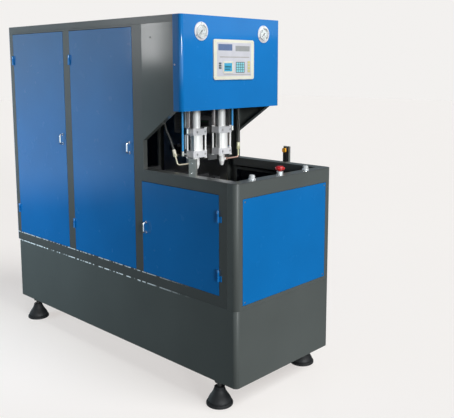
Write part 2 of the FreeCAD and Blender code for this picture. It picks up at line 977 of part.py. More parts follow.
# ---------------------------------------------------------------- head structure
def head_plate():
    """Thick plate that carries the cylinders, with holes for the rods."""
    front = at_depth(head_front_depth) + frame_sheet
    w = head_plate_half_width
    plate = block(-w, w, front, at_depth(head_plate_rear), head_plate_bottom, head_plate_top)

    def drill(radius, x, y):
        return rod(radius, (x, y, head_plate_bottom - 1), (x, y, head_plate_top + 1))

    for x in cavities:
        plate = plate.cut(drill(stretch_rod_radius + 2 * fit_clearance, x, cavity_y))
        plate = plate.cut(drill(guide_rod_radius + stem_clearance, x, guide_y))
    plate = plate.cut(drill(stretch_piston_rod_radius + fit_clearance, 0, stretch_cylinder_y))
    # side notches clear the folded edges of the side panels and of the cabinet's front posts
    notch_x = half_width - return_depth - fit_clearance
    step = at_depth(cabinet_front_depth)
    for sign in (-1, 1):
        x0, x1 = sorted((sign * notch_x, sign * half_width))
        plate = plate.cut(
            block(x0, x1, step - 2 * frame_sheet, step + 2 * frame_sheet, head_plate_bottom, head_plate_top)
        )
    return plate.removeSplitter()


def guide_rods():
    """Round rods from the lower bracket bar up past the head plate."""
    bottom = at_height(cylinder_bottom)
    return [
        rod(guide_rod_radius, (x, guide_y, bottom), (x, guide_y, head_plate_bottom + guide_rod_rise))
        for x in cavities
    ]


def cylinder_bracket():
    """Two bars behind the sealing cylinders, one at each pair of caps, and the guide sleeves between them."""
    front = cavity_y + cap_depth / 2
    z0 = at_height(cylinder_bottom + cap_height)
    z1 = at_height(cylinder_bottom + cylinder_height - cap_height)
    bore = guide_rod_radius + rod_clearance
    bars = [tube(bore + guide_sleeve_wall, bore, (x, guide_y, z0), (x, guide_y, z1)) for x in cavities]
    for low in (cylinder_bottom, cylinder_bottom + cylinder_height - cap_height):
        z0 = at_height(low)
        bar = block(-bracket_half_length, bracket_half_length, front, front + bracket_depth, z0, z0 + cap_height)
        for x in cavities:
            bar = bar.cut(rod(guide_rod_radius + rod_clearance, (x, guide_y, z0 - 1), (x, guide_y, z0 + cap_height + 1)))
        bars.append(bar)
    return bars


def hanger_tubes():
    """Thick tubes that hang the sealing cylinders from the head plate."""
    z0 = at_height(cylinder_bottom + cylinder_height)
    return [tube(hanger_radius, hanger_bore, (x, cavity_y, z0), (x, cavity_y, head_plate_bottom)) for x in cavities]


def tie_rod_places(x):
    """Centres of the four tie rods of one sealing cylinder."""
    dx = cap_width / 2 - tie_rod_inset
    dy = cap_depth / 2 - tie_rod_inset
    return [(x + sx * dx, cavity_y + sy * dy) for sx in (-1, 1) for sy in (-1, 1)]


def sealing_cylinder_caps():
    """Square end caps with chamfered corners, bored for the hollow rod and the tie rods."""
    caps = []
    for x in cavities:
        for low in (cylinder_bottom, cylinder_bottom + cylinder_height - cap_height):
            z0 = at_height(low)
            z1 = z0 + cap_height
            cap = block(
                x - cap_width / 2, x + cap_width / 2, cavity_y - cap_depth / 2, cavity_y + cap_depth / 2, z0, z1
            )
            upright = [e for e in cap.Edges if abs(e.tangentAt(e.FirstParameter).z) > 0.99]
            cap = cap.makeChamfer(cap_chamfer, upright)
            cap = cap.cut(rod(hollow_rod_radius + rod_clearance, (x, cavity_y, z0 - 1), (x, cavity_y, z1 + 1)))
            for tx, ty in tie_rod_places(x):
                cap = cap.cut(rod(tie_rod_radius + rod_clearance, (tx, ty, z0 - 1), (tx, ty, z1 + 1)))
            caps.append(cap)
    return caps


def sealing_cylinder_tie_rods():
    """Tie rods with a nut at each end."""
    z0 = at_height(cylinder_bottom)
    z1 = at_height(cylinder_bottom + cylinder_height)
    rods = []
    for x in cavities:
        for tx, ty in tie_rod_places(x):
            bar = rod(tie_rod_radius, (tx, ty, z0 - tie_nut_height), (tx, ty, z1 + tie_nut_height))
            lower = hexagon(tie_nut_flats, (tx, ty, z0 - tie_nut_height), (tx, ty, z0))
            upper = hexagon(tie_nut_flats, (tx, ty, z1), (tx, ty, z1 + tie_nut_height))
            rods.append(fused(bar, lower, upper))
    return rods


def sealing_cylinder_barrels():
    """Round barrels between the caps."""
    z0 = at_height(cylinder_bottom + cap_height)
    z1 = at_height(cylinder_bottom + cylinder_height - cap_height)
    return [tube(barrel_radius, barrel_bore, (x, cavity_y, z0), (x, cavity_y, z1)) for x in cavities]


def nozzle(x):
    """Blow nozzle screwed on a hollow piston rod, with a side boss for the air pipe."""
    sign = -1 if x < 0 else 1
    top = at_height(cylinder_bottom) - nozzle_gap
    rod_top = at_height(cylinder_bottom + cylinder_height) + hollow_rod_rise
    piston_top = at_height(cylinder_bottom + cylinder_height - cap_height) - piston_end_gap
    body = turned(
        [
            (0, -nozzle_length),
            (nozzle_tip_radius, -nozzle_length),
            (nozzle_radius, -nozzle_body_height),
            (nozzle_radius, -3),
            (nozzle_radius - 3, 0),
            (0, 0),
        ],
        (x, cavity_y, top),
    )
    shaft = rod(hollow_rod_radius, (x, cavity_y, top - 1), (x, cavity_y, rod_top))
    piston = rod(
        barrel_bore - piston_clearance,
        (x, cavity_y, piston_top - piston_height),
        (x, cavity_y, piston_top),
    )
    z = at_height(pipe_level)
    boss = rod(nozzle_boss_radius, (x, cavity_y, z), (x + sign * nozzle_boss_reach, cavity_y, z))
    whole = fused(body, shaft, piston, boss)
    return whole.cut(
        rod(hollow_rod_bore, (x, cavity_y, top - nozzle_length - 1), (x, cavity_y, rod_top + 1))
    ).removeSplitter()


def pipe_route(x):
    """Places of a blow pipe: nozzle boss, elbow, start and end of its ferrule, and the direction it rises."""
    sign = -1 if x < 0 else 1
    z = at_height(pipe_level)
    start = Vector(x + sign * nozzle_boss_reach, cavity_y, z)
    elbow = Vector(x + sign * pipe_reach, cavity_y, z)
    lean = math.radians(left_pipe_lean) if x < 0 else 0.0
    rise = Vector(0, math.sin(lean), math.cos(lean))
    ferrule_start = elbow + rise * pipe_rise
    return start, elbow, ferrule_start, ferrule_start + rise * ferrule_length


def blow_pipe(x):
    """Bent pipe from the nozzle with an elbow block and a hexagon ferrule on its end."""
    start, elbow, ferrule_start, ferrule_end = pipe_route(x)
    pipe, _ = bent_rod([tuple(start), tuple(elbow), tuple(ferrule_start)], pipe_radius, pipe_bend_radius)
    rise = (ferrule_end - ferrule_start).normalize()
    hexagon_end = ferrule_start + rise * ferrule_hex_height
    ferrule_hex = hexagon(ferrule_hex_flats, tuple(ferrule_start), tuple(hexagon_end))
    sleeve = rod(ferrule_radius, tuple(ferrule_start), tuple(ferrule_end))
    run = (elbow - start).normalize()
    union_nut = hexagon(ferrule_hex_flats * 0.8, tuple(start), tuple(start + run * ferrule_hex_height))
    return fused(pipe, ferrule_hex, sleeve, union_nut)


def hose_points(x):
    """Route of a blow hose, from its ferrule up to its socket in the head plate."""
    _, _, ferrule_start, ferrule_end = pipe_route(x)
    rise = (ferrule_end - ferrule_start).normalize()
    socket = hose_socket_place(x)
    lead = 0.25 * (socket - ferrule_end).Length
    first = ferrule_end + rise * lead
    last = socket - Vector(0, 0, lead)
    bow = Vector(hose_bow if x > 0 else -hose_bow, 0, 0)
    return [tuple(ferrule_end), tuple(first), tuple((first + last) * 0.5 + bow), tuple(last), tuple(socket)]



def hose_socket_place(x):
    """Lower mouth of a hose socket under the head plate."""
    sign = -1 if x < 0 else 1
    y = cavity_y + (left_hose_setback if x < 0 else 0.0)
    return Vector(x + sign * pipe_reach, y, head_plate_bottom - hose_socket_length)


# ---------------------------------------------------------------- air tubes of the sealing cylinders
def air_tube_ports():
    """Ports of the sealing cylinders, as (x of the port face, side, y, z of the port, y of the tube's top)."""
    lower = at_height(cylinder_bottom + cap_height / 2)
    upper = at_height(cylinder_bottom + cylinder_height - cap_height / 2)
    front = cavity_y - port_offset
    rear = cavity_y + port_offset
    left_face = cavities[0] - cap_width / 2
    right_face = cavities[1] + cap_width / 2
    return [
        (left_face, -1, rear, lower, 2 * fitting_reach),
        (left_face, -1, front + port_offset, upper, fitting_reach),
        (right_face, 1, rear, lower, 2 * fitting_reach),
        (right_face, 1, front, upper, fitting_reach),
    ]



def air_fittings():
    """Push-in elbows on the cylinder caps, straight push-ins under the head plate, and the hose sockets."""
    fittings = []
    for face, side, y, z, reach in air_tube_ports():
        x = face + side * reach
        stub = rod(fitting_radius * 0.75, (face, y, z), (x, y, z))
        collar = hexagon(fitting_radius * 1.6, (face, y, z), (face + side * fitting_reach / 3, y, z))
        body = rod(fitting_radius, (x, y, z - fitting_radius), (x, y, z + fitting_height))
        fittings.append(fused(body, stub, collar))
        fittings.append(
            rod(fitting_radius, (x, y, head_plate_bottom - fitting_height), (x, y, head_plate_bottom))
        )
    for x in cavities:
        mouth = hose_socket_place(x)
        top = Vector(mouth.x, mouth.y, head_plate_bottom)
        fittings.append(
            fused(
                rod(ferrule_radius, tuple(mouth), tuple(top)),
                hexagon(ferrule_hex_flats, tuple(top - Vector(0, 0, ferrule_hex_height)), tuple(top)),
            )
        )
    return fittings


def air_tubes():
    """Plastic tubes from the cap fittings up to the head plate."""
    tubes = []
    for face, side, y, z, reach in air_tube_ports():
        x = face + side * reach
        tubes.append(
            rod(tube_radius, (x, y, z + fitting_height), (x, y, head_plate_bottom - fitting_height))
        )
    return tubes


# ---------------------------------------------------------------- stretch drive
def crosshead_low():
    """Underside of the crosshead at rest, at the top of its stroke."""
    return head_plate_top + crosshead_lift + stretch_stroke


def stretch_crosshead():
    """T-shaped plate that slides on the guide rods and reaches back to its cylinder."""
    z0 = crosshead_low()
    z1 = z0 + crosshead_thickness
    bar = block(
        -crosshead_half_length,
        crosshead_half_length,
        cavity_y - crosshead_margin,
        guide_y + crosshead_margin,
        z0,
        z1,
    )
    arm = block(
        -crosshead_arm_half_width,
        crosshead_arm_half_width,
        guide_y,
        stretch_cylinder_y + crosshead_margin,
        z0,
        z1,
    )
    plate = bar.fuse(arm)
    for x in cavities:
        plate = plate.cut(rod(guide_rod_radius + tie_bar_clearance, (x, guide_y, z0 - 1), (x, guide_y, z1 + 1)))
    return plate.removeSplitter()


def stretch_rods():
    """Two stretch rods and the piston rod of the stretch cylinder, shouldered under the crosshead."""
    z0 = crosshead_low()
    tip = at_height(cylinder_bottom) - nozzle_gap - nozzle_length + 2 * stretch_rod_radius
    rods = []
    for x in cavities:
        bar = rod(stretch_rod_radius, (x, cavity_y, tip), (x, cavity_y, z0)).fuse(
            Part.makeSphere(stretch_rod_radius, Vector(x, cavity_y, tip))
        )
        collar = hexagon(4 * stretch_rod_radius, (x, cavity_y, z0 - 10), (x, cavity_y, z0))
        rods.append(fused(bar, collar))
    piston_low = head_plate_bottom - stretch_cap - stretch_piston_height - piston_end_gap
    bar = rod(stretch_piston_rod_radius, (0, stretch_cylinder_y, piston_low), (0, stretch_cylinder_y, z0))
    piston = rod(
        stretch_cylinder_bore - piston_clearance,
        (0, stretch_cylinder_y, piston_low),
        (0, stretch_cylinder_y, piston_low + stretch_piston_height),
    )
    rods.append(fused(bar, piston))
    return rods



def stretch_cylinder():
    """Cylinder hung under the head plate: two square caps and a round barrel."""
    top = head_plate_bottom
    bottom = top - stretch_cylinder_length
    half = stretch_cap_width / 2
    y = stretch_cylinder_y
    upper = block(-half, half, y - half, y + half, top - stretch_cap, top)
    lower = block(-half, half, y - half, y + half, bottom, bottom + stretch_cap)
    upper = upper.cut(rod(stretch_piston_rod_radius + rod_clearance, (0, y, top - stretch_cap - 1), (0, y, top + 1)))
    barrel = tube(
        stretch_cylinder_radius, stretch_cylinder_bore, (0, y, bottom + stretch_cap), (0, y, top - stretch_cap)
    )
    return [upper, lower, barrel]


# ---------------------------------------------------------------- gauges and operator panel
def gauge_case(x, z):
    """Panel gauge: flange on the hood, bezel in front, body behind, dial floor with its pivot."""
    face = at_depth(hood_face_depth)
    dial = gauge_bezel_height - gauge_dial_depth
    inner = gauge_bezel_radius - gauge_bezel_wall
    profile = [
        (0, -gauge_body_length),
        (gauge_body_radius, -gauge_body_length),
        (gauge_body_radius, 0),
        (gauge_flange_radius, 0),
        (gauge_flange_radius, gauge_flange_thickness),
        (gauge_bezel_radius, gauge_flange_thickness),
        (gauge_bezel_radius, gauge_bezel_height - 2),
        (gauge_bezel_radius - 1.5, gauge_bezel_height),
        (inner, gauge_bezel_height),
        (inner, dial),
        (needle_pivot_radius, dial),
        (needle_pivot_radius, dial + needle_thickness + 1.5),
        (0, dial + needle_thickness + 1.5),
    ]
    return turned(profile, (x, face, z), (0, -1, 0))


def gauge_needle(x, z):
    """Pointer with a hub and a short tail, pointing down to the left at zero."""
    face = at_depth(hood_face_depth)
    dial = gauge_bezel_height - gauge_dial_depth
    y = face - dial - 0.5
    outline = [(-2.0, -7.0), (2.0, -7.0), (0.6, needle_length), (-0.6, needle_length)]
    points = [Vector(px, 0, pz) for px, pz in outline]
    blade = Part.Face(Part.makePolygon(points + points[:1])).extrude(Vector(0, -needle_thickness, 0))
    hub = rod(needle_hub_radius, (0, 0, 0), (0, -needle_thickness, 0))
    needle = fused(blade, hub).cut(rod(needle_pivot_radius + needle_clearance, (0, 1, 0), (0, -needle_thickness - 1, 0)))
    needle.rotate(Vector(0, 0, 0), Vector(0, 1, 0), -needle_zero)
    needle.translate(Vector(x, y, z))
    return needle



def gauge_lenses():
    """Clear discs in the mouths of the bezels."""
    face = at_depth(hood_face_depth)
    radius = gauge_bezel_radius - gauge_bezel_wall
    front = face - gauge_bezel_height + 0.5
    return [rod(radius, (x, front, z), (x, front + gauge_lens_thickness, z)) for x, z in gauge_places()]


def operator_panel():
    """Plate with rounded corners on the hood and the control unit's box behind it."""
    face = at_depth(hood_face_depth)
    w = operator_panel_width / 2
    h = operator_panel_height / 2
    z = at_height(operator_panel_level)
    plate = block(-w, w, face - operator_panel_thickness, face, z - h, z + h)
    corners = [e for e in plate.Edges if abs(e.tangentAt(e.FirstParameter).y) > 0.99]
    plate = plate.makeFillet(operator_panel_radius, corners)
    bw = operator_box_width / 2
    bh = operator_box_height / 2
    return fused(plate, block(-bw, bw, face, face + operator_box_depth, z - bh, z + bh))


# ---------------------------------------------------------------- controls on the rim
def control_bezels():
    """Bezels of the start buttons and collar of the emergency stop, with shanks and contact blocks below."""
    left, right, stop = control_places()
    bezels = []
    for (x, y), radius, height, bore in (
        (left, start_bezel_radius, start_bezel_height, start_button_radius),
        (right, start_bezel_radius, start_bezel_height, start_button_radius),
        (stop, stop_collar_radius, stop_collar_height, stop_stem_radius),
    ):
        ring = turned(
            [(0, 0), (radius, 0), (radius, height - 2), (radius - 2, height), (0, height)],
            (x, y, rim_top),
        )
        shank = rod(control_shank_radius, (x, y, rim_top - control_shank_length), (x, y, rim_top))
        half = contact_block_width / 2
        top = rim_top - control_shank_length
        contact = block(x - half, x + half, y - half, y + half, top - contact_block_height, top)
        nut = hexagon(
            2.4 * control_shank_radius, (x, y, rim_top - frame_sheet - 5), (x, y, rim_top - frame_sheet)
        )
        unit = fused(ring, shank, contact, nut)
        well = control_well_depth
        unit = unit.cut(rod(bore + button_clearance, (x, y, rim_top + height - well), (x, y, rim_top + height + 1)))
        bezels.append(unit)
    return bezels



def start_button(place):
    """Domed button that dips into its bezel."""
    x, y = place
    low = rim_top + start_bezel_height - control_well_depth + start_travel + button_end_gap
    high = rim_top + start_bezel_height + start_button_height
    body = rod(start_button_radius, (x, y, low), (x, y, high))
    rim = [e for e in body.Edges if abs(e.BoundBox.ZMin - high) < 0.01 and e.BoundBox.ZLength < 0.01]
    return body.makeFillet(5.0, rim)


def emergency_stop_cap():
    """Mushroom head on a stem."""
    x, y = control_places()[2]
    collar_top = rim_top + stop_collar_height
    under = collar_top + stop_gap
    low = collar_top - control_well_depth + stop_travel + button_end_gap
    r = stop_cap_radius
    profile = [
        (0, low),
        (stop_stem_radius, low),
        (stop_stem_radius, under),
        (r - 2, under),
        (r, under + 3),
        (r - 2, under + stop_cap_height * 0.55),
        (r * 0.7, under + stop_cap_height * 0.88),
        (r * 0.35, under + stop_cap_height),
        (0, under + stop_cap_height),
    ]
    return turned(profile, (x, y, 0))


# ---------------------------------------------------------------- safety light sensors
def sensor_bracket():
    """Upright angle bracket on the left rim, with two fixing holes and a folded front edge."""
    x0 = left_x + sensor_plate_inset
    x1 = x0 + sensor_plate_thickness
    y = at_depth(sensor_depth)
    half = sensor_plate_width / 2
    upright = block(x0, x1, y - half, y + half, rim_top, rim_top + sensor_plate_height)
    foot = block(x0, x0 + sensor_foot_width, y - half, y + half, rim_top, rim_top + sensor_plate_thickness)
    edge = block(
        x0, x0 + sensor_foot_width / 3, y - half, y - half + sensor_plate_thickness, rim_top, rim_top + sensor_plate_height
    )
    bracket = fused(upright, foot, edge)
    for z in (rim_top + sensor_plate_height * 0.2, rim_top + sensor_plate_height * 0.85):
        bracket = bracket.cut(rod(sensor_hole_radius, (x0 - 1, y + half / 3, z), (x1 + 1, y + half / 3, z)))
    return bracket


def beam_sensor():
    """Sensor with a rounded top on the inner face of its bracket, lens towards the pit."""
    x0 = left_x + sensor_plate_inset + sensor_plate_thickness
    x1 = x0 + sensor_body_thickness
    y = at_depth(sensor_depth)
    half = sensor_body_width / 2
    z0 = rim_top + sensor_plate_thickness
    z1 = z0 + sensor_body_height
    body = block(x0, x1, y - half, y + half, z0, z1 - half)
    dome = rod(half, (x0, y, z1 - half), (x1, y, z1 - half))
    lens = rod(sensor_lens_radius, (x1 - 1, y, z1 - half), (x1 + sensor_lens_height, y, z1 - half))
    return fused(body, dome, lens)


# ---------------------------------------------------------------- clamp
def tie_bar_places():
    """Centres of the four tie bars, as (x, z)."""
    x = platen_width / 2 - tie_bar_inset
    middle = bed_top + platen_height / 2
    z = platen_height / 2 - tie_bar_inset
    return [(sx * x, middle + sz * z) for sx in (-1, 1) for sz in (-1, 1)]


def platen(depth, lift, holes_at_front, rod_hole):
    """Plate on the tie bars, with tapped holes for a mould half where it faces the moulds."""
    y0 = at_depth(depth)
    y1 = y0 + platen_thickness
    plate = block(-platen_width / 2, platen_width / 2, y0, y1, bed_top + lift, bed_top + platen_height)
    for x, z in tie_bar_places():
        plate = plate.cut(rod(tie_bar_radius + tie_bar_clearance, (x, y0 - 1, z), (x, y1 + 1, z)))
    if holes_at_front is not None:
        face = y0 if holes_at_front else y1
        floor = face + mould_hole_depth if holes_at_front else face - mould_hole_depth
        middle = bed_top + platen_height / 2
        for sx in (-1, 1):
            for sz in (-1, 1):
                x = sx * mould_hole_spacing_x / 2
                z = middle + sz * mould_hole_spacing_z / 2
                plate = plate.cut(rod(mould_hole_radius, (x, face, z), (x, floor, z)))
    if rod_hole:
        z = bed_top + platen_height / 2
        plate = plate.cut(rod(clamp_rod_radius + fit_clearance, (0, y0 - 1, z), (0, y1 + 1, z)))
    return plate


def end_platens():
    """Fixed platen at the front and thrust platen at the rear."""
    return [
        platen(fixed_platen_depth, 0, False, False),
        platen(thrust_platen_depth, 0, None, True),
    ]


def tie_bars():
    """Four tie bars with a nut at each end."""
    front = at_depth(fixed_platen_depth)
    rear = at_depth(thrust_platen_depth) + platen_thickness
    nut = tie_bar_nut_height
    bars = []
    for x, z in tie_bar_places():
        bar = rod(tie_bar_radius, (x, front - nut, z), (x, rear + nut, z))
        first = hexagon(tie_bar_nut_flats, (x, front - nut, z), (x, front, z))
        last = hexagon(tie_bar_nut_flats, (x, rear, z), (x, rear + nut, z))
        bars.append(fused(bar, first, last))
    return bars


def clamp_cylinder():
    """Cylinder on the thrust platen: two square caps, a barrel and four tie rods."""
    y0 = at_depth(thrust_platen_depth) + platen_thickness
    y1 = y0 + clamp_cap_thickness
    y2 = y1 + clamp_barrel_length
    y3 = y2 + clamp_cap_thickness
    z = bed_top + platen_height / 2
    half = clamp_cap_width / 2
    offset = half - clamp_tie_rod_inset
    corners = [(sx * offset, z + sz * offset) for sx in (-1, 1) for sz in (-1, 1)]
    front = block(-half, half, y0, y1, z - half, z + half)
    front = front.cut(rod(clamp_rod_radius + rod_clearance, (0, y0 - 1, z), (0, y1 + 1, z)))
    rear = block(-half, half, y2, y3, z - half, z + half)
    barrel = tube(clamp_barrel_radius, clamp_bore_radius, (0, y1, z), (0, y2, z))
    rods = [rod(clamp_tie_rod_radius, (x, y1, cz), (x, y2, cz)) for x, cz in corners]
    return [front, rear, barrel] + rods


def clamp_rod():
    """Piston rod from the moving platen into the clamp cylinder, with its piston."""
    z = bed_top + platen_height / 2
    start = at_depth(moving_platen_depth) + platen_thickness
    barrel_end = at_depth(thrust_platen_depth) + platen_thickness + clamp_cap_thickness + clamp_barrel_length
    end = barrel_end - piston_end_gap
    flange = rod(2 * clamp_rod_radius, (0, start, z), (0, start + clamp_rod_radius, z))
    bar = rod(clamp_rod_radius, (0, start, z), (0, end, z))
    piston = rod(clamp_bore_radius - piston_clearance, (0, end - clamp_piston_height, z), (0, end, z))
    return fused(bar, flange, piston)


# ---------------------------------------------------------------- services
def mounting_plate():
    """Plate for the control units, screwed to the inner edges of the right side frame."""
    x1 = half_width - rebate_depth
    x0 = x1 - mounting_plate_thickness
    y0 = at_depth(middle_door_start) - door_gap - frame_sheet
    y1 = at_depth(middle_door_start + tall_door_width) + door_gap + frame_sheet
    top = at_height(mounting_plate_top)
    return block(x0, x1, y0, y1, top - mounting_plate_height, top)


def control_units():
    """Controller and power supply, contactors on a rail, and two terminal strips, on the mounting plate."""
    face = half_width - rebate_depth - mounting_plate_thickness
    start = at_depth(middle_door_start) + unit_margin
    top = at_height(mounting_plate_top) - unit_margin
    row_length = tall_door_width - 2 * unit_margin

    def unit(y, width, row, height, depth, lift=0.0):
        centre = top - supply_height / 2 - row * unit_row_pitch
        x1 = face - lift
        return block(x1 - depth, x1, y, y + width, centre - height / 2, centre + height / 2)

    units = [
        unit(start, controller_width, 0, controller_height, controller_depth),
        unit(start + controller_width + unit_gap, supply_width, 0, supply_height, supply_depth),
        unit(start, row_length, 1, rail_width, rail_thickness),
    ]
    for k in range(contactor_count):
        y = start + unit_gap + k * contactor_pitch
        units.append(unit(y, contactor_width, 1, contactor_height, contactor_depth, rail_thickness))
    for row in (2, 3):
        units.append(unit(start, row_length, row, terminal_height, terminal_depth))
    return units


def valve_manifold():
    """Manifold with a row of solenoid valves on the rear of the head plate."""
    y1 = at_depth(head_plate_rear) - manifold_rear_gap
    y0 = y1 - manifold_width
    z1 = head_plate_top + manifold_height
    x0 = -head_plate_half_width + manifold_inset
    length = (valve_count - 1) * valve_pitch + valve_width + 2 * manifold_end
    pieces = [block(x0, x0 + length, y0, y1, head_plate_top, z1)]
    for k in range(valve_count):
        x = x0 + manifold_end + k * valve_pitch
        top = z1 + valve_height
        body = block(x, x + valve_width, y0 + valve_margin, y1 - valve_margin, z1, top)
        middle = x + valve_width / 2
        coil = rod(coil_radius, (middle, y0 + coil_inset, top), (middle, y0 + coil_inset, top + coil_height))
        pieces.append(fused(body, coil))
    return pieces


def air_receiver():
    """Upright tank with domed ends on three legs."""
    y = at_depth(receiver_depth)
    bottom = bed_top + receiver_leg_height
    z1 = bottom + receiver_shell_height
    shell = rod(receiver_radius, (0, y, bottom), (0, y, z1))
    parts = [shell]
    for z, direction in ((z1, 1), (bottom, -1)):
        dome = turned(
            [
                (0, 0),
                (receiver_radius, 0),
                (receiver_radius * 0.86, receiver_dome * 0.5),
                (receiver_radius * 0.55, receiver_dome * 0.85),
                (0, receiver_dome),
            ],
            (0, y, z),
            (0, 0, direction),
        )
        parts.append(dome)
    for k in range(3):
        angle = math.radians(90 + 120 * k)
        x = (receiver_radius - receiver_leg_size / 2) * math.cos(angle)
        dy = (receiver_radius - receiver_leg_size / 2) * math.sin(angle)
        half = receiver_leg_size / 2
        parts.append(
            block(x - half, x + half, y + dy - half, y + dy + half, bed_top, bottom + receiver_leg_size)
        )
    return fused(*parts)


def filter_regulator():
    """Filter-regulator behind the back panel; its threaded inlet shows in the panel's hole."""
    y1 = half_length - back_sheet
    z = at_height(inlet_level)
    half = filter_block / 2
    body = block(inlet_offset - half, inlet_offset + half, y1 - filter_block, y1, z - half, z + half)
    bowl = rod(
        filter_bowl_radius,
        (inlet_offset, y1 - half, z - half - filter_bowl_length),
        (inlet_offset, y1 - half, z - half),
    )
    knob = rod(
        filter_knob_radius, (inlet_offset, y1 - half, z + half), (inlet_offset, y1 - half, z + half + filter_knob_height)
    )
    boss = rod(inlet_boss_radius, (inlet_offset, y1, z), (inlet_offset, half_length, z))
    unit = fused(body, bowl, knob, boss)
    return unit.cut(
        rod(inlet_thread_radius, (inlet_offset, half_length - inlet_thread_length, z), (inlet_offset, half_length, z))
    )


# ---------------------------------------------------------------- the machine
def build():
    """All pieces by name; a list is a group of separate identical or matching solids."""
    left, right, _ = control_places()
    left_frame = folded_frame(side_outline(), side_doors)
    bracket = sensor_bracket()
    sensor = beam_sensor()
    handle_rear = at_depth(rear_door_start + handle_inset)
    handle_middle = at_depth(middle_door_start + handle_inset)
    handle_lower = at_depth(lower_door_margin + lower_door_width - handle_inset)
    return {
        "base_skirt": base_skirt(),
        "machine_bed": machine_bed(),
        "left_side_frame": left_frame,
        "right_side_frame": mirrored(left_frame),
        "front_frame": front_frame(),
        "front_panel": front_panel(),
        "table_rim": table_rim(),
        "cabinet_roof": cabinet_roof(),
        "back_panel": back_panel(),
        "right_side_panels": right_side_panels(),
        "head_side_panels": head_side_panels(),
        "head_hood": head_hood(),
        "head_plate": head_plate(),
        "guide_rods": guide_rods(),
        "cylinder_bracket": cylinder_bracket(),
        "hanger_tubes": hanger_tubes(),
        "sealing_cylinder_caps": sealing_cylinder_caps(),
        "sealing_cylinder_tie_rods": sealing_cylinder_tie_rods(),
        "sealing_cylinder_barrels": sealing_cylinder_barrels(),
        "stretch_cylinder": stretch_cylinder(),
        "air_tubes": air_tubes(),
        "air_fittings": air_fittings(),
        "blow_hose_left": hose(hose_points(cavities[0]), hose_radius),
        "blow_hose_right": hose(hose_points(cavities[1]), hose_radius),
        "gauge_cases": [gauge_case(x, z) for x, z in gauge_places()],
        "gauge_lenses": gauge_lenses(),
        "operator_panel": operator_panel(),
        "control_bezels": control_bezels(),
        "sensor_brackets": [bracket, mirrored(bracket)],
        "beam_sensors": [sensor, mirrored(sensor)],
        "foot_pads": foot_pads(),
        "foot_stems": foot_stems(),
        "frame_hinge_halves": frame_hinge_halves(),
        "end_platens": end_platens(),
        "tie_bars": tie_bars(),
        "clamp_cylinder": clamp_cylinder(),
        "mounting_plate": mounting_plate(),
        "control_units": control_units(),
        "valve_manifold": valve_manifold(),
        "air_receiver": air_receiver(),
        "filter_regulator": filter_regulator(),
        "tall_door_rear": hung_door(*door_hanging[0]),
        "tall_door_middle": hung_door(*door_hanging[1]),
        "lower_door": hung_door(*door_hanging[2]),
        "handle_rear": bow_handle(handle_rear, handle_level),
        "handle_middle": bow_handle(handle_middle, handle_level),
        "handle_lower": bow_handle(handle_lower, lower_handle_level),
        "nozzle_left": nozzle(cavities[0]),
        "nozzle_right": nozzle(cavities[1]),
        "blow_pipe_left": blow_pipe(cavities[0]),
        "blow_pipe_right": blow_pipe(cavities[1]),
        "stretch_crosshead": stretch_crosshead(),
        "stretch_rods": stretch_rods(),
        "moving_platen": platen(moving_platen_depth, moving_platen_lift, True, False),
        "clamp_rod": clamp_rod(),
        "start_button_left": start_button(left),
        "start_button_right": start_button(right),
        "emergency_stop_cap": emergency_stop_cap(),
        "gauge_needle_left": gauge_needle(*gauge_places()[0]),
        "gauge_needle_right": gauge_needle(*gauge_places()[1]),
    }


os.makedirs("parts", exist_ok=True)
for name, shape in build().items():
    if isinstance(shape, list):
        shape = Part.makeCompound(shape)
    shape.exportStep(f"parts/{name}.step")
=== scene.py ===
"""Looks of a two-cavity blow moulding machine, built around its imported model.

Lengths are in metres, in the machine's own frame: +Z up, the front faces -Y, the floor at Z = 0.
"""
import logging
import math
from dataclasses import dataclass
from enum import Enum
from itertools import product
from typing import Callable, ClassVar, Iterable, Sequence

import bmesh
import bpy
from mathutils import Matrix, Vector


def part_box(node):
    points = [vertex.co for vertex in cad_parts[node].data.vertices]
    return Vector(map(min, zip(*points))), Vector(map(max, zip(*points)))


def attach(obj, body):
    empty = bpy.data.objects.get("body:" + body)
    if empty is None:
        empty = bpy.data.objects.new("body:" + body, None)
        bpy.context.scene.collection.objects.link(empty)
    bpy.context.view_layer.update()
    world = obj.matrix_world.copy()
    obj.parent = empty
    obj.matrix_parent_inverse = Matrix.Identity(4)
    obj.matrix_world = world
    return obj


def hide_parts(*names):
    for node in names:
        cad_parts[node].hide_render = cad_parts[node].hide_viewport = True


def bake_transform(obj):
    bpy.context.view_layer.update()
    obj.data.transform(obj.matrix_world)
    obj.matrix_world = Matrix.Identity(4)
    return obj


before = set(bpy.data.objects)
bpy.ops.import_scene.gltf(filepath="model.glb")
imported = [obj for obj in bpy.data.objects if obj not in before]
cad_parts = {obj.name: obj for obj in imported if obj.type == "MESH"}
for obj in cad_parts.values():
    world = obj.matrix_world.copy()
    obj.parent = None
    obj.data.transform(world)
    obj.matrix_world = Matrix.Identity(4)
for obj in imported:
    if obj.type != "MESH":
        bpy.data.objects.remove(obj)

MM = 0.001
log = logging.getLogger("machine")

Colour = tuple[float, float, float]
Point = Sequence[float]
Socket = bpy.types.NodeSocket
Test = Callable[[Vector, Vector], bool]

ROOT = "root"
SHEET = 0.0012
ORIGIN = (0.0, 0.0, 0.0)
UP, DOWN = (0.0, 0.0, 1.0), (0.0, 0.0, -1.0)
FRONT, REAR = (0.0, -1.0, 0.0), (0.0, 1.0, 0.0)
LEFT, RIGHT = (-1.0, 0.0, 0.0), (1.0, 0.0, 0.0)
SIDES = ((-1, "left"), (1, "right"))


class Axis(Enum):
    """The three directions of the machine's frame."""

    X = (1.0, 0.0, 0.0)
    Y = (0.0, 1.0, 0.0)
    Z = (0.0, 0.0, 1.0)


